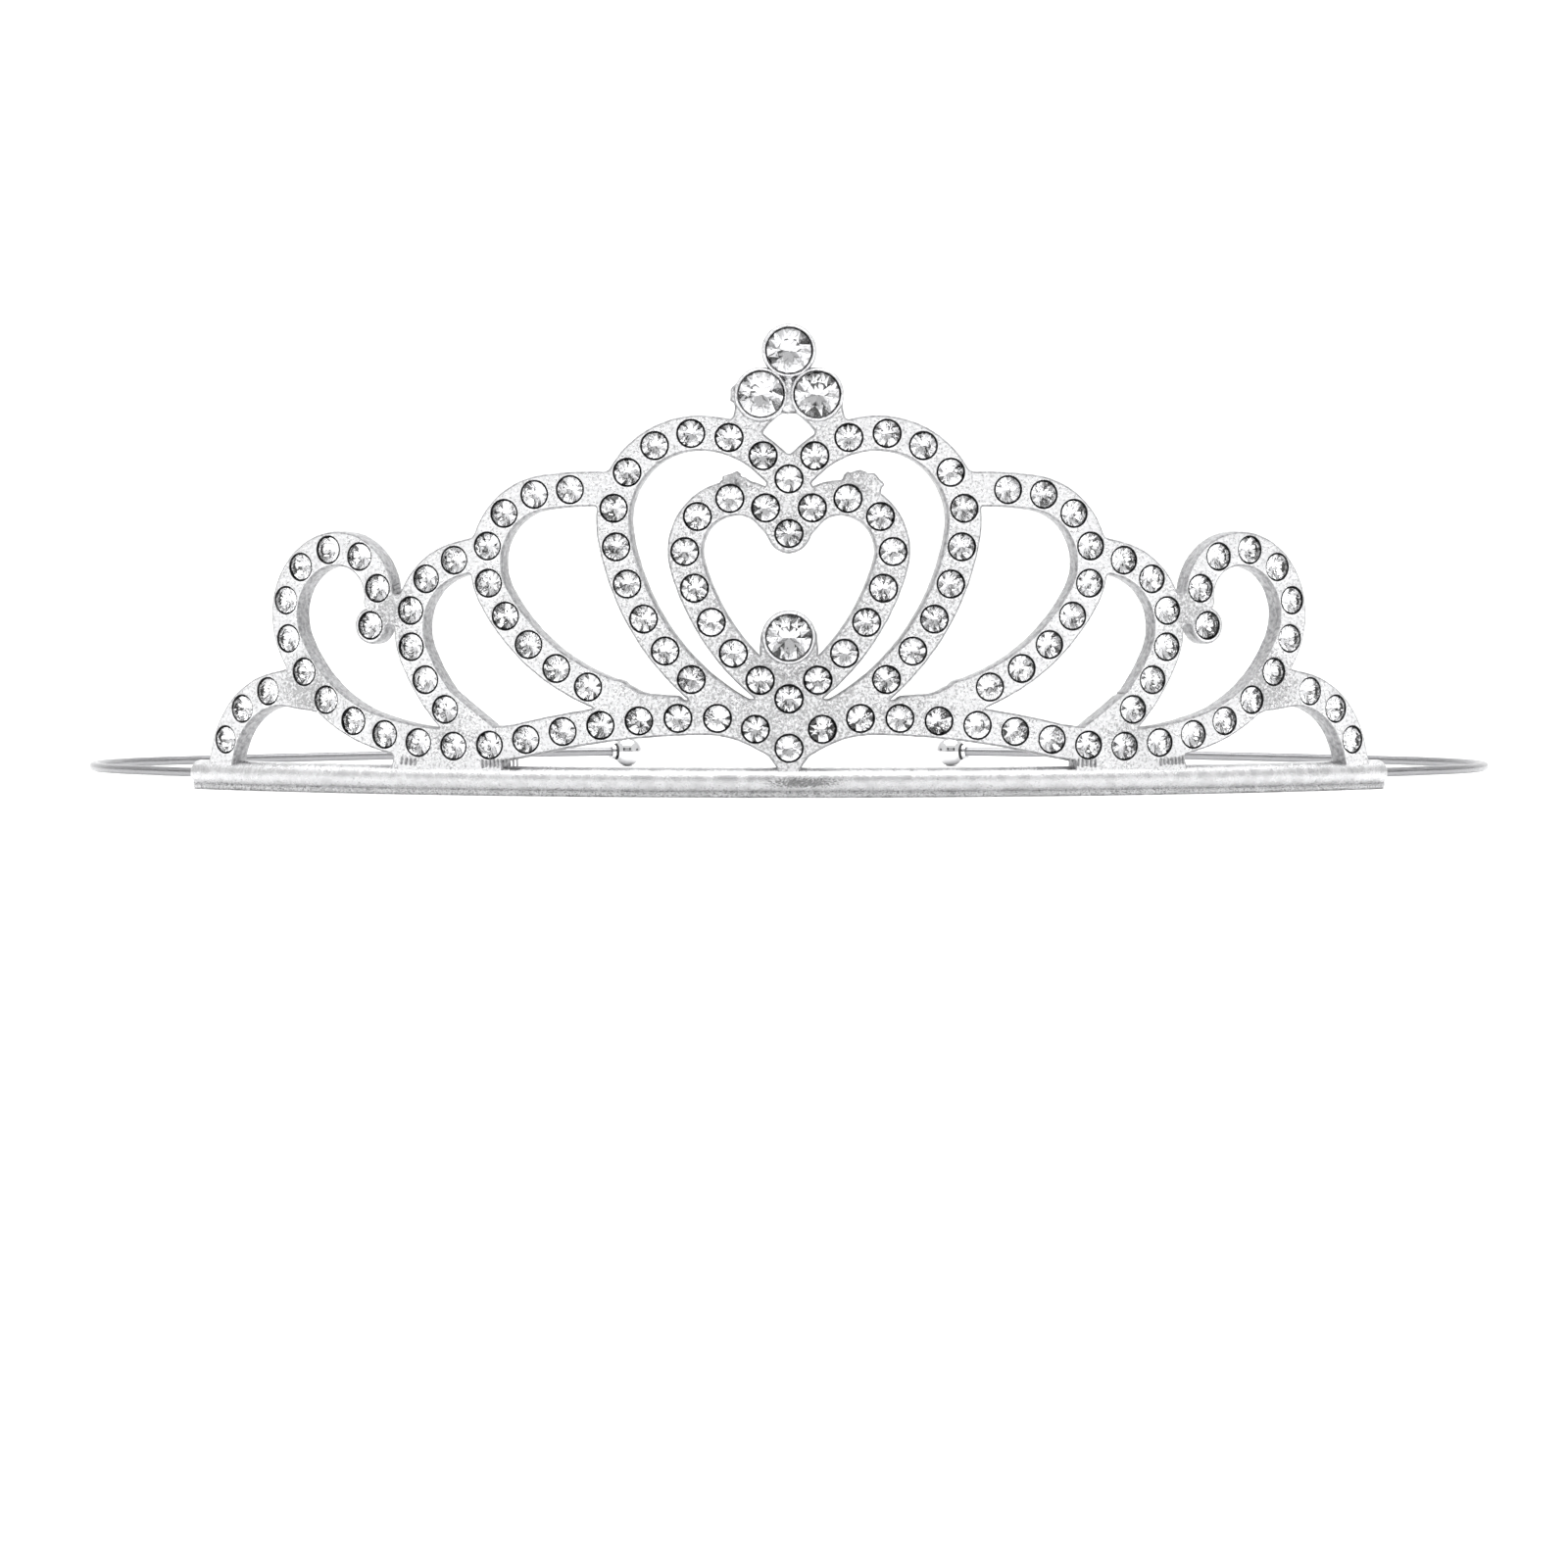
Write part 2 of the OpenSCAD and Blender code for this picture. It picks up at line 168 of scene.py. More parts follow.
# Width of the raised rim round a small seat, and how far inside a large stone's edge the plate's hole
# and the seat's wall lie, out of sight under the collet.
SEAT_RIM = 0.1
LARGE_HOLE = 0.35
LARGE_WALL = 0.41

# The casting's materials by number: its face, the seats (painted near black as painted shade), its edges
# (rougher metal, painted darker partly as painted shade) and its back.
FACE, SEAT, EDGE, BACK = range(4)

# The wire from the bar's end to the ball, as (length, turn in degrees).
WIRE_RUNS = ((10, 2), (35, 90), (61, 20))

# The room's panels: tones from its middle to its sides, and how high up they hang.
PANEL_TONES = (
    (0.0, 0.52),
    (0.26, 0.5),
    (0.33, 0.01),
    (0.46, 0.01),
    (0.54, 0.9),
    (0.95, 0.95),
    (0.97, 0.01),
    (1.0, 0.01),
)
PANEL_HEIGHTS = ((0.07, 0), (0.13, 1), (0.44, 1), (0.56, 0))


# User settings


class CrownSizes(bpy.types.PropertyGroup):
    """Real sizes of the crown and its headband."""

    brow_radius: FloatProperty(
        name="Brow radius",
        description="Radius of the bar's arc round the brow, to its centreline",
        default=0.090,
        unit="LENGTH",
    )
    bar_half: FloatProperty(
        name="Half bar",
        description="Length of the bar from its middle to one end",
        default=0.068,
        unit="LENGTH",
    )
    bar_diameter: FloatProperty(
        name="Bar", description="Diameter of the round bar", default=0.0027, unit="LENGTH"
    )
    lip_width: FloatProperty(
        name="Lip", description="Width of the lip under the bar", default=0.0017, unit="LENGTH"
    )
    plate: FloatProperty(
        name="Plate", description="Thickness of the pierced crown", default=0.002, unit="LENGTH"
    )
    band: FloatProperty(
        name="Band", description="Width of the bands that hold the stones", default=0.0036, unit="LENGTH"
    )
    fillet: FloatProperty(
        name="Fillet",
        description="Reach of the cast fillets where bands meet",
        default=0.0006,
        unit="LENGTH",
    )
    collet: FloatProperty(
        name="Collet", description="Outer diameter of a large stone's collet", default=0.0053, unit="LENGTH"
    )
    collet_rise: FloatProperty(
        name="Collet rise",
        description="How far a collet stands proud of the face",
        default=0.0009,
        unit="LENGTH",
    )
    wire: FloatProperty(
        name="Wire", description="Diameter of the sprung wire", default=0.001, unit="LENGTH"
    )
    ball: FloatProperty(
        name="Ball", description="Diameter of the ball tips", default=0.0034, unit="LENGTH"
    )
    rib: FloatProperty(
        name="Rib", description="Thickness of a rib on the solder tabs", default=0.00026, unit="LENGTH"
    )
    rib_pitch: FloatProperty(
        name="Rib pitch",
        description="Distance from rib to rib on the solder tabs",
        default=0.00042,
        unit="LENGTH",
    )
    rib_height: FloatProperty(
        name="Rib height", description="Height of the ribs on the solder tabs", default=0.0008, unit="LENGTH"
    )


class StoneSizes(bpy.types.PropertyGroup):
    """Sizes and cut of the stones."""

    small: FloatProperty(
        name="Small stone", description="Diameter of a small stone", default=0.0026, unit="LENGTH"
    )
    large: FloatProperty(
        name="Large stone", description="Diameter of a large stone", default=0.0045, unit="LENGTH"
    )
    gap: FloatProperty(
        name="Seat gap", description="Gap between a stone and its seat", default=0.00013, unit="LENGTH"
    )
    table: FloatProperty(
        name="Table", description="Width of the table as a share", default=0.58, subtype="FACTOR"
    )
    crown: FloatProperty(
        name="Crown", description="Height above the girdle as a share", default=0.15, subtype="FACTOR"
    )
    girdle: FloatProperty(
        name="Girdle", description="Height of the girdle as a share", default=0.04, subtype="FACTOR"
    )
    pavilion: FloatProperty(
        name="Pavilion", description="Depth under the girdle as a share", default=0.4, subtype="FACTOR"
    )
    lean: FloatProperty(
        name="Lean",
        description="Most that a stone leans in its seat",
        default=math.radians(3.5),
        unit="ROTATION",
    )
    seed: IntProperty(name="Seed", description="Seed of the stones' turns", default=7)


class CrownFinish(bpy.types.PropertyGroup):
    """Colours of the metal and the stones."""

    silver: FloatVectorProperty(
        name="Silver", description="Colour of the casting", default=(0.78, 0.78, 0.79), subtype="COLOR"
    )
    # The edges' colour is darker than the face, partly as painted shade on the walls.
    edge: FloatVectorProperty(
        name="Edge", description="Colour of the casting's edges", default=(0.5, 0.5, 0.51), subtype="COLOR"
    )
    # The seats' colour is painted shade: near black, standing in for the shadow in the gap round each stone.
    painted_shade: FloatVectorProperty(
        name="Recess", description="Colour down in the seats", default=(0.02, 0.02, 0.022), subtype="COLOR"
    )
    steel: FloatVectorProperty(
        name="Steel", description="Colour of the wire", default=(0.34, 0.34, 0.35), subtype="COLOR"
    )
    chrome: FloatVectorProperty(
        name="Chrome", description="Colour of the ball tips", default=(0.72, 0.72, 0.73), subtype="COLOR"
    )
    crystal: FloatVectorProperty(
        name="Crystal", description="Colour of the stones", default=(1.0, 1.0, 1.0), subtype="COLOR"
    )
    foil: FloatVectorProperty(
        name="Foil", description="Colour behind a stone", default=(0.95, 0.95, 0.96), subtype="COLOR"
    )


class StageLook(bpy.types.PropertyGroup):
    """Floor, light and camera."""

    floor: FloatVectorProperty(
        name="Floor", description="Colour of the floor", default=(0.95, 0.95, 0.95), subtype="COLOR"
    )
    room: FloatProperty(name="Room light", description="Strength of the room's light", default=1.0)
    distance: FloatProperty(
        name="Distance", description="From the camera to the bar's front", default=0.65, unit="LENGTH"
    )
    elevation: FloatProperty(
        name="Elevation",
        description="Camera's angle above the bar's plane",
        default=math.radians(2.0),
        unit="ROTATION",
    )
    lens: FloatProperty(name="Lens", description="Focal length in millimetres", default=147.7)


# Sizes in millimetres, as the drawing has them


class Measures:
    """The settings in millimetres, with the sizes that follow from them."""

    def __init__(self, scene):
        sizes = scene.crown_sizes
        stones = scene.crown_stones
        self.brow = sizes.brow_radius / MM
        self.plate = sizes.plate / MM
        self.half_band = sizes.band / MM / 2
        self.fillet = sizes.fillet / MM
        self.face = self.brow + self.plate / 2
        self.bar_r = sizes.bar_diameter / MM / 2
        self.bar_turn = sizes.bar_half / sizes.brow_radius
        self.lip = sizes.lip_width / MM / 2
        self.collet_r = sizes.collet / MM / 2
        self.collet_rise = sizes.collet_rise / MM
        self.wire_r = sizes.wire / MM / 2
        self.ball_r = sizes.ball / MM / 2
        self.axis_z = self.ball_r
        self.gap = stones.gap / MM
        self.small_r = stones.small / MM / 2
        self.large_r = stones.large / MM / 2
        # The bar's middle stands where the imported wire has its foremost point.
        self.arc_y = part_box("headband_wire")[0].y / MM + self.wire_r + self.brow

    def point(self, across, up, depth=0.0):
        """A place on the face, in metres; depth stands out of it."""
        angle = across / self.face
        r = self.face + depth
        return Vector((r * math.sin(angle), self.arc_y - r * math.cos(angle), self.axis_z + up)) * MM

    def points(self, flat, depth):
        """Places on the face for arrays of (across, up) and depth."""
        angle = flat[:, 0] / self.face
        r = self.face + depth
        x = r * np.sin(angle)
        y = self.arc_y - r * np.cos(angle)
        return np.stack([x, y, self.axis_z + flat[:, 1]], 1) * MM

    def outward(self, across):
        """The way out of the face."""
        angle = across / self.face
        return Vector((math.sin(angle), -math.cos(angle), 0))


# Flat drawing


def arc_end(start, length, turn):
    """Place and heading at the end of an arc."""
    x, y, heading = start
    h = math.radians(heading)
    if abs(turn) < 0.01:
        return (x + length * math.cos(h), y + length * math.sin(h), heading)
    r = length / math.radians(turn)
    e = math.radians(heading + turn)
    return (x + r * (math.sin(e) - math.sin(h)), y - r * (math.cos(e) - math.cos(h)), heading + turn)


def walk(band, along):
    """Place and heading at a distance along a band."""
    at, arcs = band
    for length, turn in arcs[:-1]:
        if along <= length:
            return arc_end(at, along, turn * along / length)
        at = arc_end(at, length, turn)
        along -= length
    length, turn = arcs[-1]
    return arc_end(at, along, turn * along / length)


def row_places(row):
    """Places of a row's stones on the right side."""
    band, first, pitch, low, high = row
    return [walk(band, first + i * pitch)[:2] for i in range(low, high + 1)]


def arc_distance(points, start, length, turn):
    """Distance from the points to one arc."""
    h = math.radians(start[2])
    origin = np.array(start[:2])
    if abs(turn) < 0.01:
        way = np.array([math.cos(h), math.sin(h)])
        along = np.clip((points - origin) @ way, 0, length)
        return np.linalg.norm(points - origin - along[:, None] * way, axis=1)
    r = length / math.radians(turn)
    centre = origin + r * np.array([-math.sin(h), math.cos(h)])
    side = 1 if turn > 0 else -1
    q = (points - centre) * side
    total = math.radians(abs(turn))
    swept = np.mod(side * (np.arctan2(q[:, 0], -q[:, 1]) - h), 2 * math.pi)
    past = np.where(swept - total < 2 * math.pi - swept, total, 0)
    angle = h + side * np.where(swept <= total, swept, past)
    nearest = centre + r * np.stack([np.sin(angle), -np.cos(angle)], 1)
    return np.linalg.norm(points - nearest, axis=1)


def butt_end(points, found, at, heading, half):
    """Ends a band square; past its end, the distance grows from a flat edge."""
    away = points - np.array(at[:2])
    h = math.radians(heading)
    along = away @ np.array([math.cos(h), math.sin(h)])
    across = np.abs(away @ np.array([-math.sin(h), math.cos(h)]))
    past = (along > 0) & (np.hypot(away[:, 0], away[:, 1]) <= found + 1e-6)
    return np.where(past, np.maximum(across, along + half), found)


def band_distance(points, band, half):
    """Distance from a band's centreline, with square ends for a band that is twice half wide."""
    at, arcs = band
    found = np.full(len(points), 1e3)
    first = at
    for length, turn in arcs:
        found = np.minimum(found, arc_distance(points, at, length, turn))
        at = arc_end(at, length, turn)
    found = butt_end(points, found, first, first[2] + 180, half)
    return butt_end(points, found, at, at[2], half)


def patch_distance(points, corners):
    """Distance outside a convex patch, less than nought inside it."""
    c = np.array(corners, float)
    ahead = np.roll(c, -1, axis=0)
    if np.sum(c[:, 0] * ahead[:, 1] - ahead[:, 0] * c[:, 1]) < 0:
        c = c[::-1]
        ahead = np.roll(c, -1, axis=0)
    found = np.full(len(points), -1e3)
    for a, b in zip(c, ahead):
        way = (b - a) / np.linalg.norm(b - a)
        found = np.maximum(found, (points - a) @ np.array([way[1], -way[0]]))
    return found


def join(a, b, reach):
    """Union of two distances with a cast fillet between them."""
    h = np.clip(0.5 + 0.5 * (b - a) / reach, 0, 1)
    return b * (1 - h) + a * h - reach * h * (1 - h)


def roughness_of(points, size):
    """A slow wobble between about -1 and 1 that repeats nowhere in the drawing."""
    x = points[:, 0] / size
    y = points[:, 1] / size
    a = np.sin(2.1 * x + 1.3 * np.sin(1.7 * y + 0.5))
    b = np.sin(2.7 * y + 1.1 * np.sin(1.9 * x + 2.0))
    return (a + b + np.sin(3.3 * (x + y) + 4 * a)) / 3


class Drawing:
    """The crown's flat outline and its seats as distances."""

    def __init__(self, m):
        self.m = m
        self.small = [p for row in STONE_ROWS.values() for p in row_places(row)]
        self.small += [(-x, y) for x, y in self.small]
        self.small += list(SINGLE_STONES.values())
        self.large = list(LARGE_STONES.values())
        self.seat_r = m.small_r + m.gap
        wide = m.half_band + 0.1
        scroll_end = row_places(STONE_ROWS["scroll_stones"])[-1]
        self.pads = ((scroll_end, wide), ((0, 25), wide), ((0, 3.3), wide)) + CREVICES

    def outline(self, points):
        """Distance outside the crown's outline, less than nought inside it."""
        m = self.m
        mirrored = points * np.array([-1.0, 1.0])
        found = np.full(len(points), 1e3)
        for band in BANDS:
            for side in (points, mirrored):
                found = join(found, band_distance(side, band, m.half_band) - m.half_band, m.fillet)
        for web in MIDDLE_WEBS:
            found = join(found, patch_distance(points, web), m.fillet)
        for web in SIDE_WEBS:
            for side in (points, mirrored):
                found = join(found, patch_distance(side, web), m.fillet)
        rough = 0.17 * roughness_of(points, 0.42) + 0.06 * roughness_of(points, 0.2)
        for nub in NUBS:
            found = join(found, patch_distance(points, nub) + rough, 0.35)
        for place, r in self.pads:
            for side in (points, mirrored):
                pad = np.linalg.norm(side - np.array(place), axis=1) - r
                found = join(found, pad, m.fillet)
        for place in self.large:
            pad = np.linalg.norm(points - np.array(place), axis=1) - m.collet_r + 0.15
            found = join(found, pad, 2.2 * m.fillet)
        found = found + 0.025 * roughness_of(points, 0.9)
        return np.maximum(found, PLATE_FOOT - points[:, 1])

    def seats(self, points):
        """Distance inside the nearest seat, less than nought outside all of them."""
        found = np.full(len(points), 1e3)
        for places, r in ((self.small, self.seat_r + SEAT_RIM), (self.large, self.m.large_r - LARGE_HOLE)):
            for place in places:
                found = np.minimum(found, np.linalg.norm(points - np.array(place), axis=1) - r)
        return -found


# Cutting a lattice of triangles along a line


def slope(distance, points, step=0.01):
    """How steeply a distance grows across and up."""
    x = distance(points + [step, 0]) - distance(points - [step, 0])
    y = distance(points + [0, step]) - distance(points - [0, step])
    return np.stack([x, y], 1) / (2 * step)


def lattice(low, high, step):
    """Points and triangles that fill an area evenly."""
    rise = step * math.sqrt(0.75)
    columns = int((high[0] - low[0]) / step) + 2
    rows = int((high[1] - low[1]) / rise) + 2
    j, i = np.mgrid[0:rows, 0:columns]
    points = np.stack([low[0] + (i + 0.5 * (j % 2)) * step, low[1] + j * rise], -1).reshape(-1, 2)
    a = (j * columns + i)[:-1, :-1]
    odd = (j % 2 == 1)[:-1, :-1]
    right, above = a + 1, a + columns
    corner = above + 1
    first = np.where(odd[..., None], np.stack([a, right, corner], -1), np.stack([a, right, above], -1))
    second = np.where(odd[..., None], np.stack([a, corner, above], -1), np.stack([right, corner, above], -1))
    return points, np.concatenate([first.reshape(-1, 3), second.reshape(-1, 3)])


def cut_along(points, triangles, fixed, distance, step):
    """Keeps the triangles where distance is below nought, cut so that their edges run along the line."""
    # Points this close to the line move onto it, along a slope of at least this squared size.
    close_by = 0.27 * step
    least_slope = 0.25
    on_line = 1e-4
    points = points.copy()
    value = distance(points)
    near = (np.abs(value) < close_by) & ~fixed
    for _ in range(2):
        way = slope(distance, points[near])
        size = np.maximum((way * way).sum(1), least_slope)
        points[near] -= (distance(points[near]) / size)[:, None] * way
    value = distance(points)
    sign = np.sign(value).astype(int)
    sign[near | (np.abs(value) < on_line)] = 0
    corners = sign[triangles]
    # A triangle with all its corners on the line is kept where its middle lies inside.
    bridge = (corners.min(1) == 0) & (corners.max(1) == 0)
    bridge[bridge] = distance(points[triangles[bridge]].mean(1)) < 0
    whole = triangles[((corners.max(1) <= 0) & (corners.min(1) < 0)) | bridge]
    mixed = triangles[(corners.max(1) > 0) & (corners.min(1) < 0)]
    edges = np.sort(np.concatenate([mixed[:, [0, 1]], mixed[:, [1, 2]], mixed[:, [2, 0]]]), axis=1)
    edges = np.unique(edges[sign[edges[:, 0]] * sign[edges[:, 1]] < 0], axis=0)
    inside = np.where(sign[edges[:, 0]] < 0, edges[:, 0], edges[:, 1])
    outside = np.where(sign[edges[:, 0]] < 0, edges[:, 1], edges[:, 0])
    low = np.zeros(len(edges))
    high = np.ones(len(edges))
    for _ in range(10):
        middle = (low + high) / 2
        at = points[inside] + middle[:, None] * (points[outside] - points[inside])
        met = distance(at) < 0
        low = np.where(met, middle, low)
        high = np.where(met, high, middle)
    added = points[inside] + low[:, None] * (points[outside] - points[inside])
    number = {(a, b): len(points) + k for k, (a, b) in enumerate(map(tuple, edges.tolist()))}
    pieces = []
    for triangle in mixed.tolist():
        ring = []
        for a, b in zip(triangle, triangle[1:] + triangle[:1]):
            if sign[a] <= 0:
                ring.append(a)
            crossed = number.get((min(a, b), max(a, b)))
            if crossed is not None:
                ring.append(crossed)
        pieces += [(ring[0], ring[k], ring[k + 1]) for k in range(1, len(ring) - 1)]
    fixed = np.concatenate([fixed | near, np.ones(len(added), bool)])
    kept = np.concatenate([whole, np.array(pieces, int).reshape(-1, 3)])
    return np.concatenate([points, added]), kept, fixed


def border_edges(triangles):
    """Directed edges that only one triangle has."""
    edges = np.concatenate([triangles[:, [0, 1]], triangles[:, [1, 2]], triangles[:, [2, 0]]])
    size = triangles.max() + 1
    there = edges[:, 0] * size + edges[:, 1]
    back = edges[:, 1] * size + edges[:, 0]
    return edges[~np.isin(there, back)]


# Mesh helpers


def plain_mesh(name, vertices, edges, faces):
    """A mesh from lists."""
    mesh = bpy.data.meshes.new(name)
    mesh.from_pydata(vertices, edges, faces)
    return mesh


def put(name, data):
    """Places an object in the scene."""
    thing = bpy.data.objects.new(name, data)
    bpy.context.scene.collection.objects.link(thing)
    return thing


def finish_piece(name, vertices, faces, materials, slots=None, sharp=60, doubles=0.0):
    """Makes a piece from lists, with smooth shading up to a sharp angle in degrees."""
    mesh = plain_mesh(name, vertices, [], faces)
    for material in materials:
        mesh.materials.append(material)
    if slots is not None:
        mesh.polygons.foreach_set("material_index", slots)
    piece = put(name, mesh)
    if doubles:
        clean_mesh(mesh, doubles)
    mesh.shade_smooth()
    mesh.set_sharp_from_angle(angle=math.radians(sharp))
    mesh.update()
    return piece


def clean_mesh(mesh, doubles=0.0):
    """Merges vertices that are closer than doubles, and turns the normals outward."""
    work = bmesh.new()
    work.from_mesh(mesh)
    if doubles:
        bmesh.ops.remove_doubles(work, verts=work.verts, dist=doubles)
    bmesh.ops.recalc_face_normals(work, faces=work.faces)
    work.to_mesh(mesh)
    work.free()


def store(mesh, name, kind, domain, values):
    """Puts a named attribute on a mesh."""
    key = "vector" if kind == "FLOAT_VECTOR" else "value"
    mesh.attributes.new(name, kind, domain).data.foreach_set(key, values)


def stand_for(piece, slot, *nodes):
    """The piece rides on the body and replaces its nodes; slot is not used."""
    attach(piece, BODY)
    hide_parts(*nodes)


def ring_faces(rows, count, closed_rows=False):
    """Quads between rows of vertices that each close on themselves."""
    faces = []
    steps = rows if closed_rows else rows - 1
    for k in range(steps):
        a = k * count
        b = ((k + 1) % rows) * count
        for i in range(count):
            j = (i + 1) % count
            faces.append((a + i, a + j, b + j, b + i))
    return faces


def lathe(profile, count, place):
    """Rings of a turned profile of (radius, height), and their faces; place maps (x, y, height)."""
    vertices = []
    for r, height in profile:
        for i in range(count):
            a = 2 * math.pi * i / count
            vertices.append(place(r * math.cos(a), r * math.sin(a), height))
    return vertices, ring_faces(len(profile), count)


# Nodes


class Nodes:
    """Short calls for building a node tree."""

    def __init__(self, tree):
        self.tree = tree
        tree.nodes.clear()

    def add(self, kind, inputs=(), **settings):
        """A node; inputs pairs its sockets with values, or with the outputs that feed them."""
        node = self.tree.nodes.new(kind)
        for key, value in settings.items():
            setattr(node, key, value)
        for socket, item in dict(inputs).items():
            if isinstance(item, bpy.types.NodeSocket):
                self.tree.links.new(item, node.inputs[socket])
            else:
                node.inputs[socket].default_value = item
        return node

    def math(self, operation, *terms):
        return self.add("ShaderNodeMath", enumerate(terms), operation=operation).outputs[0]

    def mix(self, factor, a, b):
        """Blends two colours, each an output or three numbers."""
        a, b = [(*c[:3], 1.0) if isinstance(c, tuple) else c for c in (a, b)]
        return self.add("ShaderNodeMix", {"Factor": factor, 6: a, 7: b}, data_type="RGBA").outputs[2]

    def tones(self, source, stops):
        """Grey tones at places of a value between nought and one."""
        node = self.add("ShaderNodeValToRGB", {"Fac": source})
        ramp = node.color_ramp
        while len(ramp.elements) < len(stops):
            ramp.elements.new(0.5)
        for element, (at, tone) in zip(ramp.elements, stops):
            element.position = at
            element.color = (tone, tone, tone, 1)
        return node.outputs["Color"]


class Finish(Nodes):
    """A material's nodes."""

    def __init__(self, name):
        self.material = bpy.data.materials.new(name)
        self.material.use_nodes = True
        super().__init__(self.material.node_tree)

    def coordinates(self, scale=(1, 1, 1), output="Object"):
        source = self.add("ShaderNodeTexCoord").outputs[output]
        return self.add("ShaderNodeMapping", {"Vector": source, "Scale": scale}).outputs["Vector"]

    def noise(self, vector, scale, detail=3.0, roughness=0.55):
        inputs = {"Vector": vector, "Scale": scale, "Detail": detail, "Roughness": roughness}
        return self.add("ShaderNodeTexNoise", inputs).outputs["Fac"]

    def attribute(self, name):
        return self.add("ShaderNodeAttribute", attribute_name=name).outputs["Fac"]

    def ramp(self, source, low, high, first=0.0, last=1.0):
        """Maps a value from low..high to first..last, clamped."""
        inputs = {"Value": source, "From Min": low, "From Max": high, "To Min": first, "To Max": last}
        return self.add("ShaderNodeMapRange", inputs).outputs["Result"]

    def tint(self, source, low, high, a, b):
        """Goes from colour a to colour b while a value goes from low to high."""
        return self.mix(self.ramp(source, low, high), a, b)

    def bump(self, height, distance, strength, below=None):
        inputs = {"Height": height, "Distance": distance, "Strength": strength}
        if below is not None:
            inputs["Normal"] = below
        return self.add("ShaderNodeBump", inputs).outputs["Normal"]

    def close(self, **inputs):
        """Ends the tree in a shader with these inputs, and gives the material."""
        named = {key.replace("_", " "): item for key, item in inputs.items()}
        shader = self.add("ShaderNodeBsdfPrincipled", named)
        self.add("ShaderNodeOutputMaterial", {"Surface": shader.outputs["BSDF"]})
        return self.material

    def metal(self, **inputs):
        return self.close(Metallic=1.0, **inputs)


class Growth(Nodes):
    """A Geometry Nodes tree with named inputs."""

    def __init__(self, name, **sockets):
        tree = bpy.data.node_groups.new(name, "GeometryNodeTree")
        super().__init__(tree)
        for label, kind in {"Geometry": "Geometry", **sockets}.items():
            tree.interface.new_socket(label, in_out="INPUT", socket_type="NodeSocket" + kind)
        tree.interface.new_socket("Geometry", in_out="OUTPUT", socket_type="NodeSocketGeometry")
        self.given = self.add("NodeGroupInput").outputs

    def stored(self, name, kind):
        """A named attribute of the incoming mesh."""
        node = self.add("GeometryNodeInputNamedAttribute", {"Name": name}, data_type=kind)
        return node.outputs["Attribute"]

    def aimed(self, axis, way, **more):
        """A rotation that turns an axis toward a way."""
        node = self.add("FunctionNodeAlignRotationToVector", {"Vector": way, **more}, axis=axis)
        if more:
            node.pivot_axis = "Z"
        return node.outputs["Rotation"]

    def turned(self, rotation, by):
        """A rotation followed by another one in its own axes."""
        inputs = {"Rotation": rotation, "Rotate By": by}
        return self.add("FunctionNodeRotateRotation", inputs, rotation_space="LOCAL").outputs["Rotation"]

    def chance(self, low, high, kind="FLOAT_VECTOR", first=0):
        """A random value between low and high, from the tree's seed; first is the number of low's socket."""
        inputs = {first: low, first + 1: high, "Seed": self.given["Seed"]}
        node = self.add("FunctionNodeRandomValue", inputs, data_type=kind)
        return node.outputs[first // 2]

    def placed(self, points, pattern, rotation, scale):
        """The pattern at each point, as real geometry."""
        shape = self.add("GeometryNodeObjectInfo", {"Object": pattern}).outputs["Geometry"]
        inputs = {"Points": points, "Instance": shape, "Rotation": rotation, "Scale": scale}
        put = self.add("GeometryNodeInstanceOnPoints", inputs).outputs["Instances"]
        return self.add("GeometryNodeRealizeInstances", {"Geometry": put}).outputs["Geometry"]

    def painted(self, geometry, material, **where):
        inputs = {"Geometry": geometry, "Material": material, **where}
        return self.add("GeometryNodeSetMaterial", inputs).outputs["Geometry"]

    def close(self, geometry):
        self.add("NodeGroupOutput", {"Geometry": geometry})
        return self.tree


def grow_piece(piece, tree, given, least):
    """Runs a Geometry Nodes tree on a piece with its named inputs, and makes the result plain."""
    modifier = piece.modifiers.new(tree.name, "NODES")
    modifier.node_group = tree
    for item in tree.interface.items_tree:
        if item.in_out == "INPUT" and item.name in given:
            modifier[item.identifier] = given[item.name]
    bpy.context.view_layer.update()
    evaluated = piece.evaluated_get(bpy.context.evaluated_depsgraph_get())
    solid = bpy.data.meshes.new_from_object(evaluated)
    if len(solid.polygons) < least:
        raise RuntimeError(piece.name + " came out empty")
    piece.modifiers.clear()
    piece.data = solid
    solid.name = piece.name


# Materials


def shade(colour, share):
    """A colour made darker by a share."""
    return tuple(share * c for c in colour)


def casting_silver(finish, name="plated_casting", share=1.0, polish=0.22):
    """Plated casting: near white, with fine sandy grain and slightly uneven polish."""
    n = Finish(name)
    where = n.coordinates()
    grain = n.noise(where, 3800, 4.0, 0.75)
    cloud = n.noise(where, 420)
    silver = shade(finish.silver, share)
    limit = n.ramp(n.attribute("sandy"), 0.0, 1.0, 0.4, 0.53)
    cells = n.add("ShaderNodeTexVoronoi", {"Vector": where, "Scale": 2600}, feature="F1")
    pits = n.ramp(cells.outputs["Distance"], 0.0, 0.6)
    return n.metal(
        Base_Color=n.tint(n.math("SUBTRACT", grain, limit), -0.03, 0.07, shade(silver, 0.52), silver),
        Roughness=n.ramp(cloud, 0.35, 0.65, polish, polish + 0.12),
        Normal=n.bump(pits, 0.00008, 0.6, n.bump(grain, 0.00012, 0.8)),
    )


def casting_back(finish):
    """The casting's back: the same metal, greyer and left unpolished."""
    return casting_silver(finish, "casting_back", 0.6, 0.36)


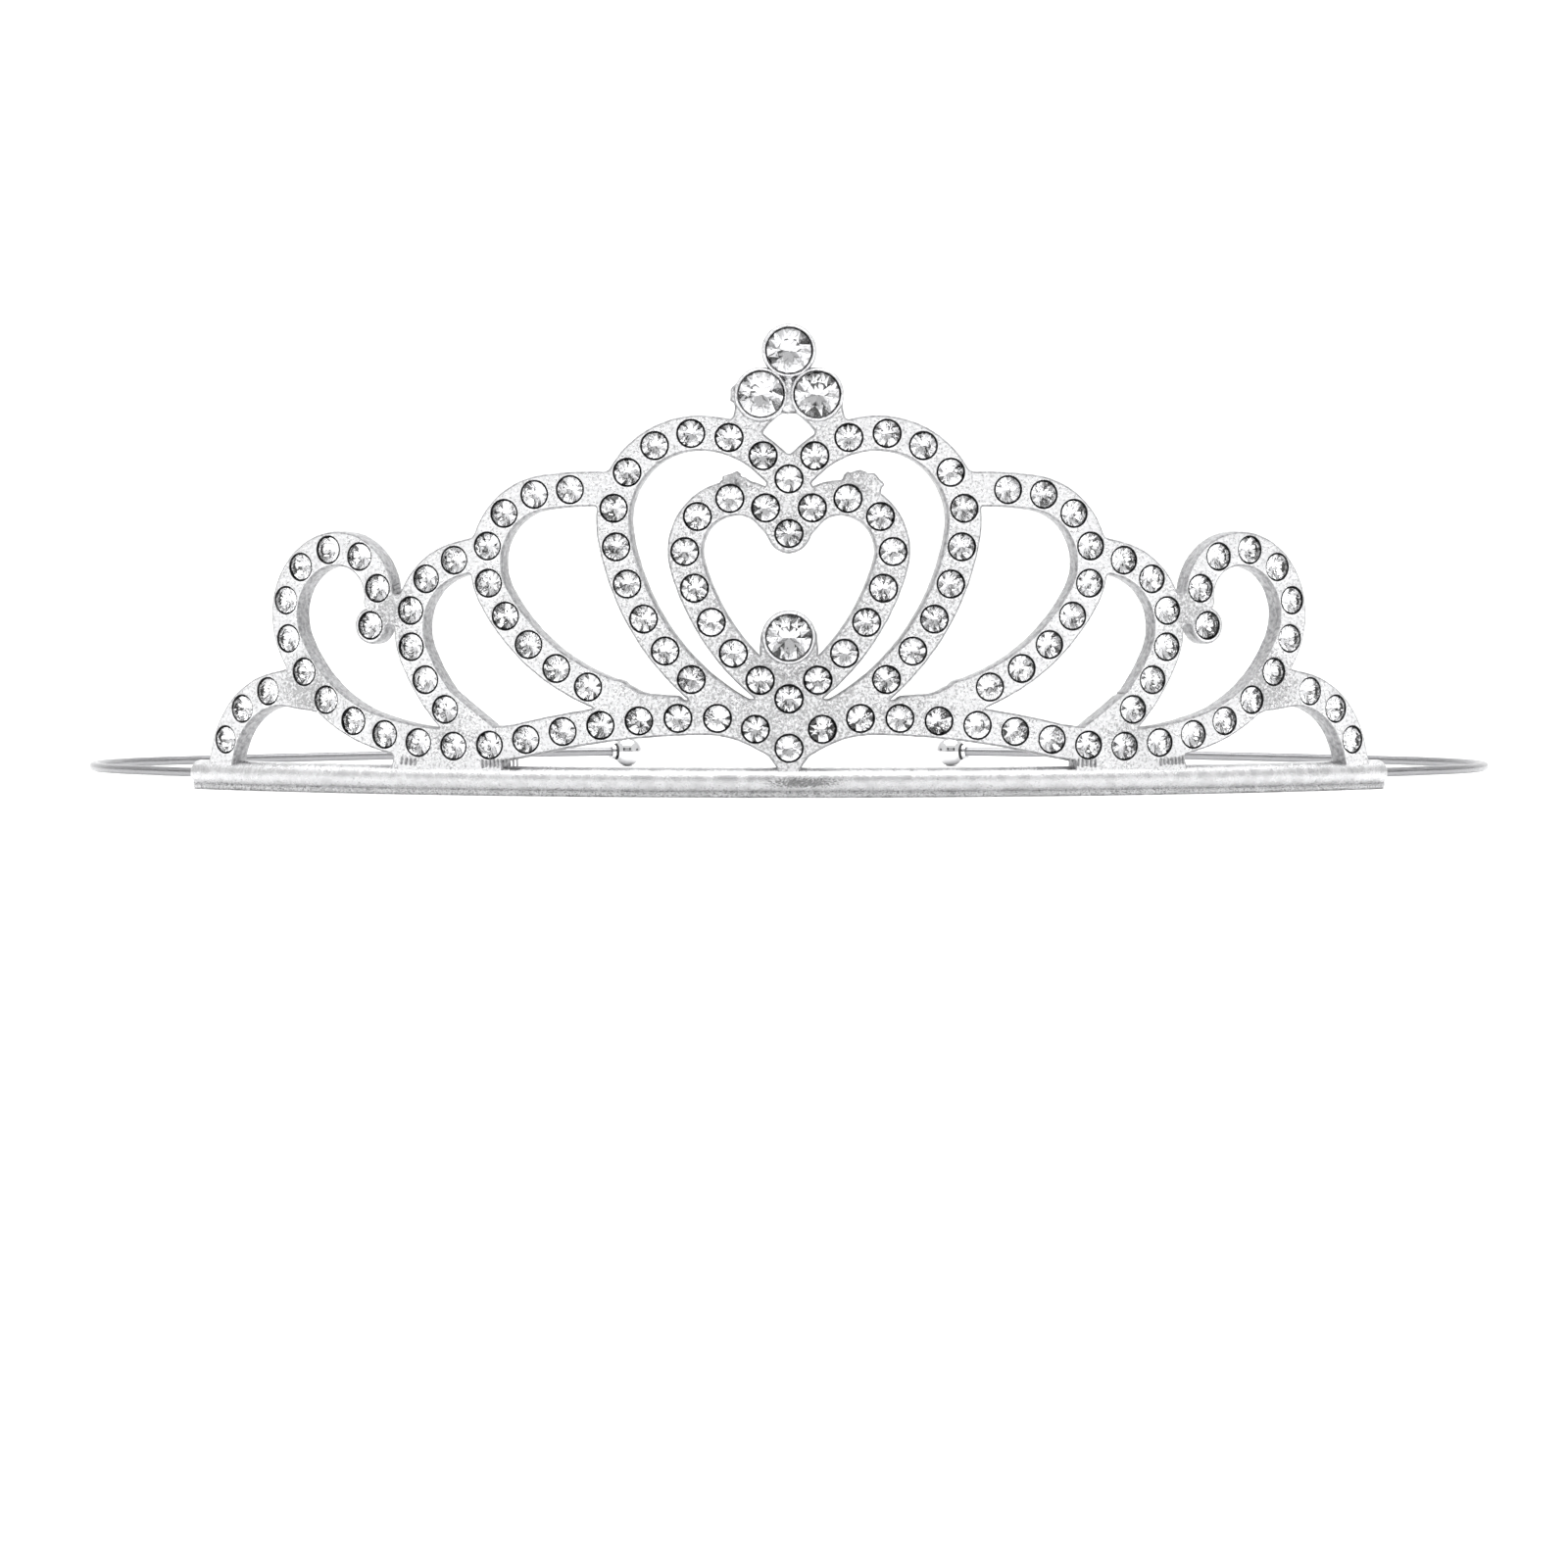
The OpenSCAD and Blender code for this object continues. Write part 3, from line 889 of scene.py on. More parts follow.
def casting_edge(finish):
    """Edges and walls of the casting: rougher than its face, and darker in colour, partly as painted shade
    on the walls, under the collets' rims and on the ribs.
    """
    n = Finish("casting_edge")
    where = n.coordinates()
    grain = n.noise(where, 3400, 4.0, 0.75)
    streak = n.noise(where, 2400, 4.0, 0.65)
    return n.metal(
        Base_Color=n.tint(streak, 0.36, 0.64, shade(finish.edge, 0.5), tuple(finish.edge)),
        Roughness=n.ramp(grain, 0.3, 0.7, 0.3, 0.5),
        Normal=n.bump(grain, 0.0002, 0.9),
    )


def painted_shade_metal(finish):
    """Painted shade: near-black metal down in the seats, bores and grooves, with a slightly uneven tone."""
    n = Finish("seat_recess")
    tarnish = n.noise(n.coordinates(), 3000)
    painted_shade = tuple(finish.painted_shade)
    # Painted shade: near black, a little lighter where the noise runs high.
    return n.metal(
        Base_Color=n.tint(tarnish, 0.4, 0.7, painted_shade, tuple(0.08 + c for c in painted_shade)),
        Roughness=n.ramp(tarnish, 0.3, 0.7, 0.5, 0.7),
    )


def bar_silver(finish):
    """The bar: smooth on top, sandy lower down, with a grainy dark solder patch in its middle."""
    n = Finish("plated_bar")
    where = n.coordinates()
    grain = n.noise(n.coordinates((0.7, 0.7, 1.2)), 6800, 4.0, 0.8)
    dents = n.noise(where, 900)
    silver = shade(finish.silver, 0.9)
    # The solder patch is long across and low; its reach is measured from its middle, squashed.
    middle = (0.0014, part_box("headband_wire")[0].y, 0.0015)
    squash = (0.26, 0.5, 1.7)
    shift = tuple(-a * b for a, b in zip(middle, squash))
    patch = n.add("ShaderNodeMapping", {"Vector": where, "Location": shift, "Scale": squash})
    reach = n.add("ShaderNodeVectorMath", {0: patch.outputs["Vector"]}, operation="LENGTH")
    near = n.ramp(reach.outputs["Value"], 0.0004, 0.0014, 1.0, 0.0)
    height = n.add("ShaderNodeSeparateXYZ", {"Vector": where}).outputs["Z"]
    sand = n.math("MAXIMUM", near, n.ramp(height, 0.0004, 0.0014, 0.36, 0.0))
    limit = n.math("SUBTRACT", 0.62, n.math("MULTIPLY", sand, 0.24))
    body = n.tint(dents, 0.38, 0.6, shade(silver, 0.84), silver)
    return n.metal(
        Base_Color=n.tint(n.math("SUBTRACT", grain, limit), -0.01, 0.03, body, shade(silver, 0.3)),
        Roughness=n.ramp(dents, 0.35, 0.65, 0.18, 0.32),
        Normal=n.bump(dents, 0.0001, 0.7, n.bump(grain, 0.00005, 0.8)),
    )


def spring_steel(finish):
    """Drawn wire: fine lines along its length, from the wire's own map."""
    n = Finish("drawn_steel")
    lines = n.noise(n.coordinates((40, 300, 1), "UV"), 1.0, 4.0, 0.7)
    return n.metal(
        Base_Color=n.tint(lines, 0.35, 0.65, shade(finish.steel, 0.8), tuple(finish.steel)),
        Roughness=n.ramp(lines, 0.3, 0.7, 0.22, 0.34),
        Normal=n.bump(lines, 0.00001, 0.6),
    )


def ball_chrome(finish):
    """Polished plating with the faintest ripple."""
    n = Finish("polished_ball")
    where = n.coordinates()
    smear = n.noise(where, 1500)
    return n.metal(
        Base_Color=n.tint(smear, 0.4, 0.7, shade(finish.chrome, 0.94), tuple(finish.chrome)),
        Roughness=n.ramp(smear, 0.35, 0.7, 0.03, 0.1),
        Normal=n.bump(n.noise(where, 500, 2.0), 0.00002, 0.5),
    )


def cut_crystal(finish):
    """Clear cut glass."""
    n = Finish("cut_crystal")
    clear = tuple(finish.crystal)
    haze = n.noise(n.coordinates(), 700, 2.0)
    colour = n.tint(haze, 0.4, 0.7, clear, shade(clear, 0.97))
    return n.close(Base_Color=colour, Roughness=0.0, IOR=1.55, Transmission_Weight=1.0)


def stone_foil(finish):
    """Mirror foil on the stone's back, with a painted tone on each facet of each stone: a few near black and
    some grey, as painted dark reflections.
    """
    n = Finish("stone_foil")
    both = n.add("ShaderNodeCombineXYZ", {"X": n.attribute("facet"), "Y": n.attribute("stone_number")})
    chance = n.add("ShaderNodeTexWhiteNoise", {"Vector": both.outputs["Vector"]}, noise_dimensions="2D")
    luck = n.math("ADD", chance.outputs["Value"], n.math("MULTIPLY", n.attribute("broad"), 0.3))
    foil = tuple(finish.foil)
    # Painted reflections: facets picked by chance are painted near black or grey, standing in for the dark
    # room that they would mirror.
    dark = n.tint(luck, 0.2, 0.21, shade(foil, 0.02), shade(foil, 0.55))
    wear = n.noise(n.coordinates(), 900)
    return n.metal(
        Base_Color=n.tint(luck, 0.3, 0.31, dark, foil),
        Roughness=n.ramp(wear, 0.3, 0.7, 0.04, 0.09),
    )


def stage_paint(look):
    """Pale matt floor with a barely uneven tone."""
    n = Finish("pale_floor")
    pale = tuple(look.floor)
    tone = n.noise(n.coordinates(), 3, 2.0)
    return n.close(Base_Color=n.tint(tone, 0.3, 0.7, pale, shade(pale, 0.985)), Roughness=0.7)


def shared(name, maker, *given):
    """A material by name, made at its first use."""
    return bpy.data.materials.get(name) or maker(*given)


def casting_metals(finish):
    """The casting's materials, in the order of FACE, SEAT, EDGE and BACK."""
    return [
        shared("plated_casting", casting_silver, finish),
        shared("seat_recess", painted_shade_metal, finish),
        shared("casting_edge", casting_edge, finish),
        shared("casting_back", casting_back, finish),
    ]


# The pierced crown


class Skin:
    """Gathers places on the drawing with their depths, and the faces between them."""

    def __init__(self):
        self.flats, self.depths, self.faces, self.slots = [], [], [], []

    def layer(self, flat, depth):
        """Adds points and gives their numbers."""
        first = sum(map(len, self.flats))
        self.flats.append(flat)
        self.depths.append(np.zeros(len(flat)) + depth)
        return np.arange(first, first + len(flat))

    def cover(self, faces, slot):
        self.faces += faces.tolist()
        self.slots += [slot] * len(faces)

    def strips(self, rows, edges, slots):
        """Quads between rows of points that follow the same edges, which the first row's numbers name."""
        a, b = np.searchsorted(rows[0], edges).T
        for upper, lower, slot in zip(rows, rows[1:], slots):
            self.cover(np.stack([upper[b], upper[a], lower[a], lower[b]], 1), slot)


def plate_mesh(m, step=0.34, edge=0.22):
    """Vertices, faces and material numbers of the pierced crown, edges rounded, seats sunk."""
    drawing = Drawing(m)

    def inset(p):
        return drawing.outline(p) + edge

    points, triangles = lattice(*CROWN_AREA, step)
    reach = drawing.outline(points)
    triangles = triangles[reach[triangles].min(1) < 0]
    points, triangles, fixed = cut_along(points, triangles, np.zeros(len(points), bool), inset, step)
    used, numbers = np.unique(triangles, return_inverse=True)
    points, triangles, fixed = points[used], numbers.reshape(-1, 3), fixed[used]
    rim = border_edges(triangles)
    front, front_triangles, _ = cut_along(points, triangles, fixed, drawing.seats, step)

    skin = Skin()
    relief = face_relief(m, front)
    skin.layer(front, relief)
    behind = skin.layer(points, -m.plate)
    skin.cover(front_triangles, FACE)
    skin.cover(triangles[:, ::-1] + behind[0], BACK)

    # The outline's rounded edges and its wall, from the front round to the back, in the darker edge metal,
    # partly as painted shade.
    edge_points = np.unique(rim)
    way = slope(drawing.outline, points[edge_points])
    way /= np.maximum(np.linalg.norm(way, axis=1), 1e-6)[:, None]
    turns = (math.radians(40), math.radians(90))
    profile = [(edge * math.sin(t), -edge * (1 - math.cos(t))) for t in turns]
    profile += [(out, -m.plate - drop) for out, drop in reversed(profile)]
    rows = [edge_points]
    for out, drop in profile:
        at = points[edge_points] + out * way
        at[:, 1] = np.maximum(at[:, 1], WALL_FOOT)
        rows.append(skin.layer(at, drop + (relief[edge_points] if drop > -0.5 * m.plate else 0)))
    rows.append(behind[edge_points])
    skin.strips(rows, rim, [EDGE] * len(profile) + [BACK])

    # Each seat: a fine raised rim, then a wall and a floor that closes in its middle, both painted near
    # black as painted shade.
    outer = set(map(tuple, rim.tolist()))
    border = np.array([e for e in border_edges(front_triangles).tolist() if tuple(e) not in outer])
    seat_points = np.unique(border)
    centres = np.array(drawing.small + drawing.large)
    walls = [drawing.seat_r] * len(drawing.small) + [m.large_r - LARGE_WALL] * len(drawing.large)
    radii = np.array(walls)
    off = front[seat_points][:, None] - centres[None]
    owner = (np.linalg.norm(off, axis=2) - radii).argmin(1)
    unit = off[np.arange(len(owner)), owner]
    unit /= np.linalg.norm(unit, axis=1)[:, None]
    rows = [seat_points]
    for share, depth, further in SEAT_ROWS:
        at = centres[owner] + unit * ((radii[owner] + further) * share)[:, None]
        rows.append(skin.layer(at, depth))
    skin.strips(rows, border, [FACE] + [SEAT] * (len(SEAT_ROWS) - 1))
    vertices = m.points(np.concatenate(skin.flats), np.concatenate(skin.depths))
    return vertices.tolist(), skin.faces, skin.slots


def face_relief(m, points):
    """Low relief of the casting's face: the heart's point stands a little proud, the nubs are rough."""
    mirrored = points * np.array([-1.0, 1.0])
    both = [band_distance(side, HEART, m.half_band) for side in (points, mirrored)]
    heart = np.minimum(*both) - m.half_band
    proud, slant, up_to = 0.14, 0.3, 12
    found = proud * np.clip(-heart / slant, 0, 1) * (points[:, 1] < up_to)
    for nub in NUBS:
        inside = np.clip(-patch_distance(points, nub) / 0.6 + 0.4, 0, 1)
        found += inside * 0.22 * roughness_of(points, 0.28)
    pillar = np.clip(-patch_distance(points, CREST_PILLAR) / 0.3, 0, 1)
    found += pillar * (0.5 + 0.15 * roughness_of(points, 0.3))
    return found + 0.012 * roughness_of(points, 1.6)


def mark_sandy(m, mesh):
    """Stores how sandy the casting is at each vertex, for its material."""
    at = np.empty(3 * len(mesh.vertices))
    mesh.vertices.foreach_get("co", at)
    at = at.reshape(-1, 3) / MM
    across = m.face * np.arctan2(at[:, 0], m.arc_y - at[:, 1])
    up = at[:, 2] - m.axis_z
    found = np.zeros(len(at))
    for x, y, reach, share in SANDY_PLACES:
        away = np.hypot(np.abs(across) - x, up - y) / reach
        found = np.maximum(found, share * np.clip(1.4 - away, 0, 1))
    store(mesh, "sandy", "FLOAT", "POINT", found)


class CROWN_OT_casting(bpy.types.Operator):
    """Build the pierced crown with its seats, edges and cast marks"""

    bl_idname = "crown.casting"
    bl_label = "Pierced crown"

    def execute(self, context):
        m = Measures(context.scene)
        metals = casting_metals(context.scene.crown_finish)
        vertices, faces, slots = plate_mesh(m)
        piece = finish_piece("pierced_crown", vertices, faces, metals, slots, sharp=42, doubles=2e-8)
        mark_sandy(m, piece.data)
        stand_for(piece, "silver_plate", "crown_frame")
        return {"FINISHED"}


class CROWN_OT_collets(bpy.types.Operator):
    """Build the four collets of the large stones, thin at the rim"""

    bl_idname = "crown.collets"
    bl_label = "Collets"

    def execute(self, context):
        m = Measures(context.scene)
        bore = m.large_r + m.gap
        rim = m.collet_rise
        # Radius and height out of the face, with the material from there to the next.
        profile = [
            # The bore's wall takes the seats' near-black metal, as painted shade round the stone.
            (bore - 1.2, -1.2, SEAT),
            (bore, -0.9, SEAT),
            (bore, rim - 0.12, SEAT),
            (bore + 0.02, rim, FACE),
            (bore + 0.08, rim + 0.06, FACE),
            (m.collet_r - 0.1, rim + 0.05, FACE),
            (m.collet_r - 0.03, rim - 0.03, FACE),
            (m.collet_r, rim - 0.2, FACE),
            # From under the rim down, the outer wall takes the darker edge metal, as painted shade under the
            # rim.
            (m.collet_r + 0.03, 0.25, EDGE),
            (m.collet_r + 0.12, 0.02, EDGE),
            (m.collet_r, -0.2, EDGE),
            (m.collet_r, -m.plate + 0.12, EDGE),
            (m.collet_r - 0.12, -m.plate, BACK),
            (0.9, -m.plate, BACK),
            (0.9, -1.3, SEAT),
            (bore - 1.3, -1.3, FACE),
        ]
        around = 56
        vertices, faces, slots = [], [], []
        for number, (across, up) in enumerate(LARGE_STONES.values()):
            out = m.outward(across)
            side = Vector((-out.y, out.x, 0))
            centre = m.point(across, up)

            def place(x, y, height, centre=centre, side=side, out=out, number=number):
                dent = noise.noise(Vector((x, y, height)) * 0.9 + Vector((number * 7.0, 0, 0)))
                grow = 1 + 0.014 * dent * (1 if height > -0.5 else 0)
                return centre + (side * (x * grow) + Vector((0, 0, y * grow)) + out * height) * MM

            ring, quads = lathe([row[:2] for row in profile + profile[:1]], around, place)
            first = len(vertices)
            vertices += ring
            faces += [[first + k for k in quad] for quad in quads]
            slots += [slot for _, _, slot in profile for _ in range(around)]
        metals = casting_metals(context.scene.crown_finish)
        piece = finish_piece("stone_collets", vertices, faces, metals, slots, sharp=50, doubles=1e-7)
        stand_for(piece, "silver_plate", "crown_frame")
        return {"FINISHED"}


# Ribs of the solder tabs


def rib_pattern(sides=8):
    """One rib, a unit long, wide and deep, rounded at both ends."""
    vertices = []
    for y, size in ((-0.5, 0.45), (-0.36, 1.0), (0.36, 1.0), (0.5, 0.45)):
        for i in range(sides):
            a = 2 * math.pi * (i + 0.5) / sides
            vertices.append((0.5 * size * math.cos(a), y, 0.5 * size * math.sin(a)))
    last = len(vertices) - 1
    faces = [face[::-1] for face in ring_faces(4, sides)]
    faces += [list(range(sides)), list(range(last, last - sides, -1))]
    return bpy.data.objects.new("rib_pattern", plain_mesh("rib_pattern", vertices, [], faces))


def rib_tree():
    """Geometry Nodes: ribs at an even pitch along lines, standing across them."""
    n = Growth(
        "ribs_along_lines",
        Rib="Object",
        Pitch="Float",
        Size="Vector",
        Unevenness="Float",
        Seed="Int",
        Metal="Material",
    )
    given = n.given
    line = n.add("GeometryNodeMeshToCurve", {"Mesh": given["Geometry"]}).outputs["Curve"]
    even = n.add("GeometryNodeResampleCurve", {"Curve": line, "Length": given["Pitch"]}, mode="LENGTH")
    out = n.aimed("Z", n.stored("facing", "FLOAT_VECTOR"))
    across = n.aimed("X", n.add("GeometryNodeInputTangent").outputs["Tangent"], Rotation=out)
    uneven = given["Unevenness"]
    chance = n.chance(n.math("SUBTRACT", 1.0, uneven), n.math("ADD", 1.0, uneven))
    size = n.add("ShaderNodeVectorMath", {0: given["Size"], 1: chance}, operation="MULTIPLY")
    ribs = n.placed(even.outputs["Curve"], given["Rib"], across, size.outputs["Vector"])
    return n.close(n.painted(ribs, given["Metal"]))


class CROWN_OT_ribs(bpy.types.Operator):
    """Set the ribs on the solder tabs and on the cut sprue"""

    bl_idname = "crown.ribs"
    bl_label = "Solder ribs"

    def execute(self, context):
        scene = context.scene
        m = Measures(scene)
        sizes = scene.crown_sizes
        places, edges, ways = [], [], []
        for depth, line in RIB_LINES:
            for k, (across, up) in enumerate(line):
                if k:
                    edges.append((len(places) - 1, len(places)))
                places.append(m.point(across, up, depth))
                ways += list(m.outward(across))
        piece = put("solder_ribs", plain_mesh("solder_ribs", places, edges, []))
        store(piece.data, "facing", "FLOAT_VECTOR", "POINT", ways)
        given = {
            "Rib": rib_pattern(),
            "Pitch": sizes.rib_pitch,
            "Size": (sizes.rib, sizes.rib_height, 1.4 * sizes.rib),
            "Unevenness": 0.14,
            "Seed": 5,
            # The ribs take the darker edge metal, so that they read dark as painted shade between them.
            "Metal": shared("casting_edge", casting_edge, scene.crown_finish),
        }
        least_faces = 300
        grow_piece(piece, rib_tree(), given, least_faces)
        stand_for(piece, "silver_plate", "crown_frame")
        return {"FINISHED"}


# The bar


def bar_section(m, count=50):
    """Points round the bar's section as (out, up): a round with a low lip and a seam above it."""
    lip_top = -math.sqrt(m.bar_r**2 - m.lip**2)
    bottom = -m.axis_z
    start = math.atan2(lip_top, m.lip)
    end = math.pi - start
    turns = [start + (end - start) * i / (count - 1) for i in range(count)]
    points = [(m.bar_r * math.cos(a), m.bar_r * math.sin(a)) for a in turns]
    seam = lip_top - 0.06
    left = [(-m.lip + 0.07, seam), (-m.lip, seam - 0.1), (-m.lip, bottom + 0.15), (-m.lip + 0.12, bottom)]
    middle = [(-m.lip * 0.4, bottom), (m.lip * 0.4, bottom)]
    right = [(-x, y) for x, y in reversed(left)]
    return points + left + middle + right


def bar_rows(m, ends=0.6, bore_steps=60):
    """Rows along the bar as (turn, how far inset, whether in the bore), and the number of the outer ones."""
    stations = int(2 * m.bar_turn * m.brow / 0.5)
    caps = [(ends * math.sin(t), ends * (1 - math.cos(t))) for t in np.radians([90, 68, 45, 22])]
    rows = [(-m.bar_turn - along / m.brow, inset, False) for along, inset in caps]
    rows += [(-m.bar_turn + 2 * m.bar_turn * k / stations, 0.0, False) for k in range(stations + 1)]
    rows += [(m.bar_turn + along / m.brow, inset, False) for along, inset in reversed(caps)]
    limit = m.bar_turn + ends / m.brow
    bore = [(limit - 2 * limit * k / bore_steps, 0.0, True) for k in range(bore_steps + 1)]
    return rows + bore, len(rows)


def hammered(at):
    """Dents of the bar at a place along it, deeper low on it where the solder ran."""
    dent = noise.noise(at * 0.55) * 0.024 + noise.noise(at * 1.5) * 0.01
    if at.z < -1.1:
        dent += noise.noise(at * 2.3) * 0.06
    return dent


class CROWN_OT_bar(bpy.types.Operator):
    """Build the hammered bar with its lip, rounded ends and bore"""

    bl_idname = "crown.bar"
    bl_label = "Bar"

    def execute(self, context):
        m = Measures(context.scene)
        finish = context.scene.crown_finish
        section = bar_section(m)
        count = len(section)
        bore = m.wire_r + 0.1
        rows, outer = bar_rows(m)
        vertices = []
        for turn, inset, inner in rows:
            out = Vector((math.sin(turn), -math.cos(turn), 0))
            for u, v in section:
                size = math.hypot(u, v)
                if inner:
                    u, v = u / size * bore, v / size * bore
                else:
                    dent = hammered(Vector((turn * m.brow, u, v)))
                    shrink = min(1.0, 1 - (inset - dent) / size)
                    u, v = u * shrink, max(v * shrink, -m.axis_z)
                r = m.brow + u
                vertices.append(Vector((r * out.x, m.arc_y + r * out.y, m.axis_z + v)) * MM)
        faces = ring_faces(len(rows), count, closed_rows=True)
        in_bore = range(outer, len(rows) - 1)
        slots = [int(k // count in in_bore) for k in range(len(faces))]
        # The bore takes the seats' near-black metal, as painted shade inside it.
        metals = [shared("plated_bar", bar_silver, finish), shared("seat_recess", painted_shade_metal, finish)]
        piece = finish_piece("headband_bar", vertices, faces, metals, slots, sharp=48, doubles=1e-8)
        stand_for(piece, "silver_plate", "crown_frame")
        return {"FINISHED"}


# Wire and balls


def wire_line(m):
    """Places along the wire from the left ball to the right one, in metres, level on its axis."""
    at = (0.0, m.arc_y - m.brow, 0.0)
    runs = ((m.bar_turn * m.brow, math.degrees(m.bar_turn)),) + WIRE_RUNS
    half = []
    for length, turn in runs:
        steps = max(8, int(length / 0.9))
        half += [arc_end(at, length * k / steps, turn * k / steps) for k in range(steps)]
        at = arc_end(at, length, turn)
    half.append(at)
    right = [Vector((x, y, m.axis_z)) * MM for x, y, _ in half]
    left = [Vector((-p.x, p.y, p.z)) for p in reversed(right[1:])]
    return left + right, at


class CROWN_OT_wire(bpy.types.Operator):
    """Build the sprung wire, threaded through the bar"""

    bl_idname = "crown.wire"
    bl_label = "Sprung wire"

    def execute(self, context):
        m = Measures(context.scene)
        line, _ = wire_line(m)
        count = 24
        vertices, reach = [], [0.0]
        for k, p in enumerate(line):
            before, after = line[max(k - 1, 0)], line[min(k + 1, len(line) - 1)]
            way = (after - before).normalized()
            side = Vector((way.y, -way.x, 0))
            if k:
                reach.append(reach[-1] + (p - line[k - 1]).length)
            for i in range(count):
                a = 2 * math.pi * i / count
                vertices.append(p + (side * math.cos(a) + Vector((0, 0, math.sin(a)))) * m.wire_r * MM)
        faces = ring_faces(len(line), count)
        faces.append(list(range(count))[::-1])
        faces.append([len(vertices) - count + i for i in range(count)])
        metal = shared("drawn_steel", spring_steel, context.scene.crown_finish)
        piece = finish_piece("sprung_wire", vertices, faces, [metal])
        # The map runs round the wire and along it; the last quad of a ring closes at one.
        layer = piece.data.uv_layers.new(name="along_wire")
        for face in piece.data.polygons[:-2]:
            closing = max(corner % count for corner in face.vertices) == count - 1
            for loop, corner in zip(face.loop_indices, face.vertices):
                row, i = divmod(corner, count)
                turned = 1.0 if closing and i == 0 else i / count
                layer.data[loop].uv = (turned, reach[row])
        clean_mesh(piece.data, 1e-8)
        stand_for(piece, "spring_steel", "headband_wire")
        return {"FINISHED"}


class CROWN_OT_balls(bpy.types.Operator):
    """Turn the two ball tips with their short necks"""

    bl_idname = "crown.balls"
    bl_label = "Ball tips"

    def execute(self, context):
        m = Measures(context.scene)
        finish = context.scene.crown_finish
        _, end = wire_line(m)
        neck = m.wire_r + 0.33
        start = math.asin(neck / m.ball_r)
        meet = m.ball_r * math.cos(start)
        # Radius and distance from the ball's middle: the neck's mouth, its groove and the ball.
        profile = [
            (m.wire_r + 0.02, 0.9),
            (m.wire_r + 0.02, m.ball_r + 0.34),
            (neck - 0.08, m.ball_r + 0.4),
            (neck, m.ball_r + 0.32),
            (neck, meet + 0.2),
            (neck + 0.05, meet + 0.07),
        ]
        # The groove's two rows take the seats' near-black metal, as painted shade where the neck meets the
        # ball.
        groove = (len(profile) - 2, len(profile) - 1)
        turns = np.linspace(start + 0.1, math.pi - 0.02, 34)
        profile += [(m.ball_r * math.sin(t), m.ball_r * math.cos(t)) for t in turns]
        metals = [shared("polished_ball", ball_chrome, finish), shared("seat_recess", painted_shade_metal, finish)]
        around = 48
        heading = math.radians(end[2])
        for name, side in (("left", -1), ("right", 1)):
            back = Vector((-math.cos(heading) * side, -math.sin(heading), 0))
            across = Vector((-back.y, back.x, 0))
            centre = Vector((end[0] * side, end[1], m.axis_z))

            def place(x, y, height, centre=centre, across=across, back=back):
                return (centre + across * x + Vector((0, 0, y)) + back * height) * MM

            vertices, faces = lathe(profile, around, place)
            last = len(vertices) - around
            faces.append([last + i for i in range(around)])
            faces.append(list(range(around)))
            slots = [int(i // around in groove) for i in range(len(faces))]
            piece = finish_piece("ball_tip_" + name, vertices, faces, metals, slots, sharp=50, doubles=1e-8)
            stand_for(piece, "ball_chrome", "ball_end_" + name)
        return {"FINISHED"}


# Stones


def cut_stone(stones):
    """One round stone of unit width: table, star, kite and girdle facets over the foiled ones below."""
    table, crown = stones.table / 2, stones.crown
    star = (table + 0.5) / 2
    # The kites are flat: their corners lie on one plane.
    fall = crown / (0.5 - table)
    star_z = crown - fall * (star * math.cos(math.pi / 8) - table)
    levels = (
        (8, table, crown, 0.0),
        (8, star, star_z, math.pi / 8),
        (16, 0.5, 0.0, 0.0),
        (16, 0.5, -stones.girdle, 0.0),
        (8, 0.18, -stones.girdle - stones.pavilion * 0.67, math.pi / 8),
    )
    vertices = []
    for count, r, z, turn in levels:
        for i in range(count):
            a = 2 * math.pi * i / count + turn
            vertices.append((r * math.cos(a), r * math.sin(a), z))
    tip = len(vertices)
    vertices.append((0, 0, -stones.girdle - stones.pavilion))
    # First vertices of the star, the girdle's upper and lower edge, and the pavilion's middle.
    s, u, w, d = 8, 16, 32, 48
    faces = [list(range(s))]
    for i in range(8):
        j, p = (i + 1) % 8, (i + 7) % 8
        faces.append((i, s + i, j))
        faces.append((i, s + p, u + 2 * i, s + i))
        faces.append((s + i, u + 2 * i, u + 1 + 2 * i))
        faces.append((s + i, u + 1 + 2 * i, u + 2 * j))
    for i in range(16):
        j = (i + 1) % 16
        faces.append((u + i, w + i, w + j, u + j))
    top = len(faces)
    for i in range(8):
        j, p = (i + 1) % 8, (i + 7) % 8
        faces.append((w + 2 * i, d + i, w + 1 + 2 * i))
        faces.append((w + 1 + 2 * i, d + i, w + 2 * j))
        faces.append((w + 2 * i, d + p, tip, d + i))
    mesh = plain_mesh("cut_stone", vertices, [], faces)
    numbers = range(len(faces))
    store(mesh, "foiled", "BOOLEAN", "FACE", [k >= top for k in numbers])
    store(mesh, "facet", "FLOAT", "FACE", [float(k) for k in numbers])
    store(mesh, "broad", "FLOAT", "FACE", [float(k >= top and (k - top) % 3 == 2) for k in numbers])
    clean_mesh(mesh)
    return mesh


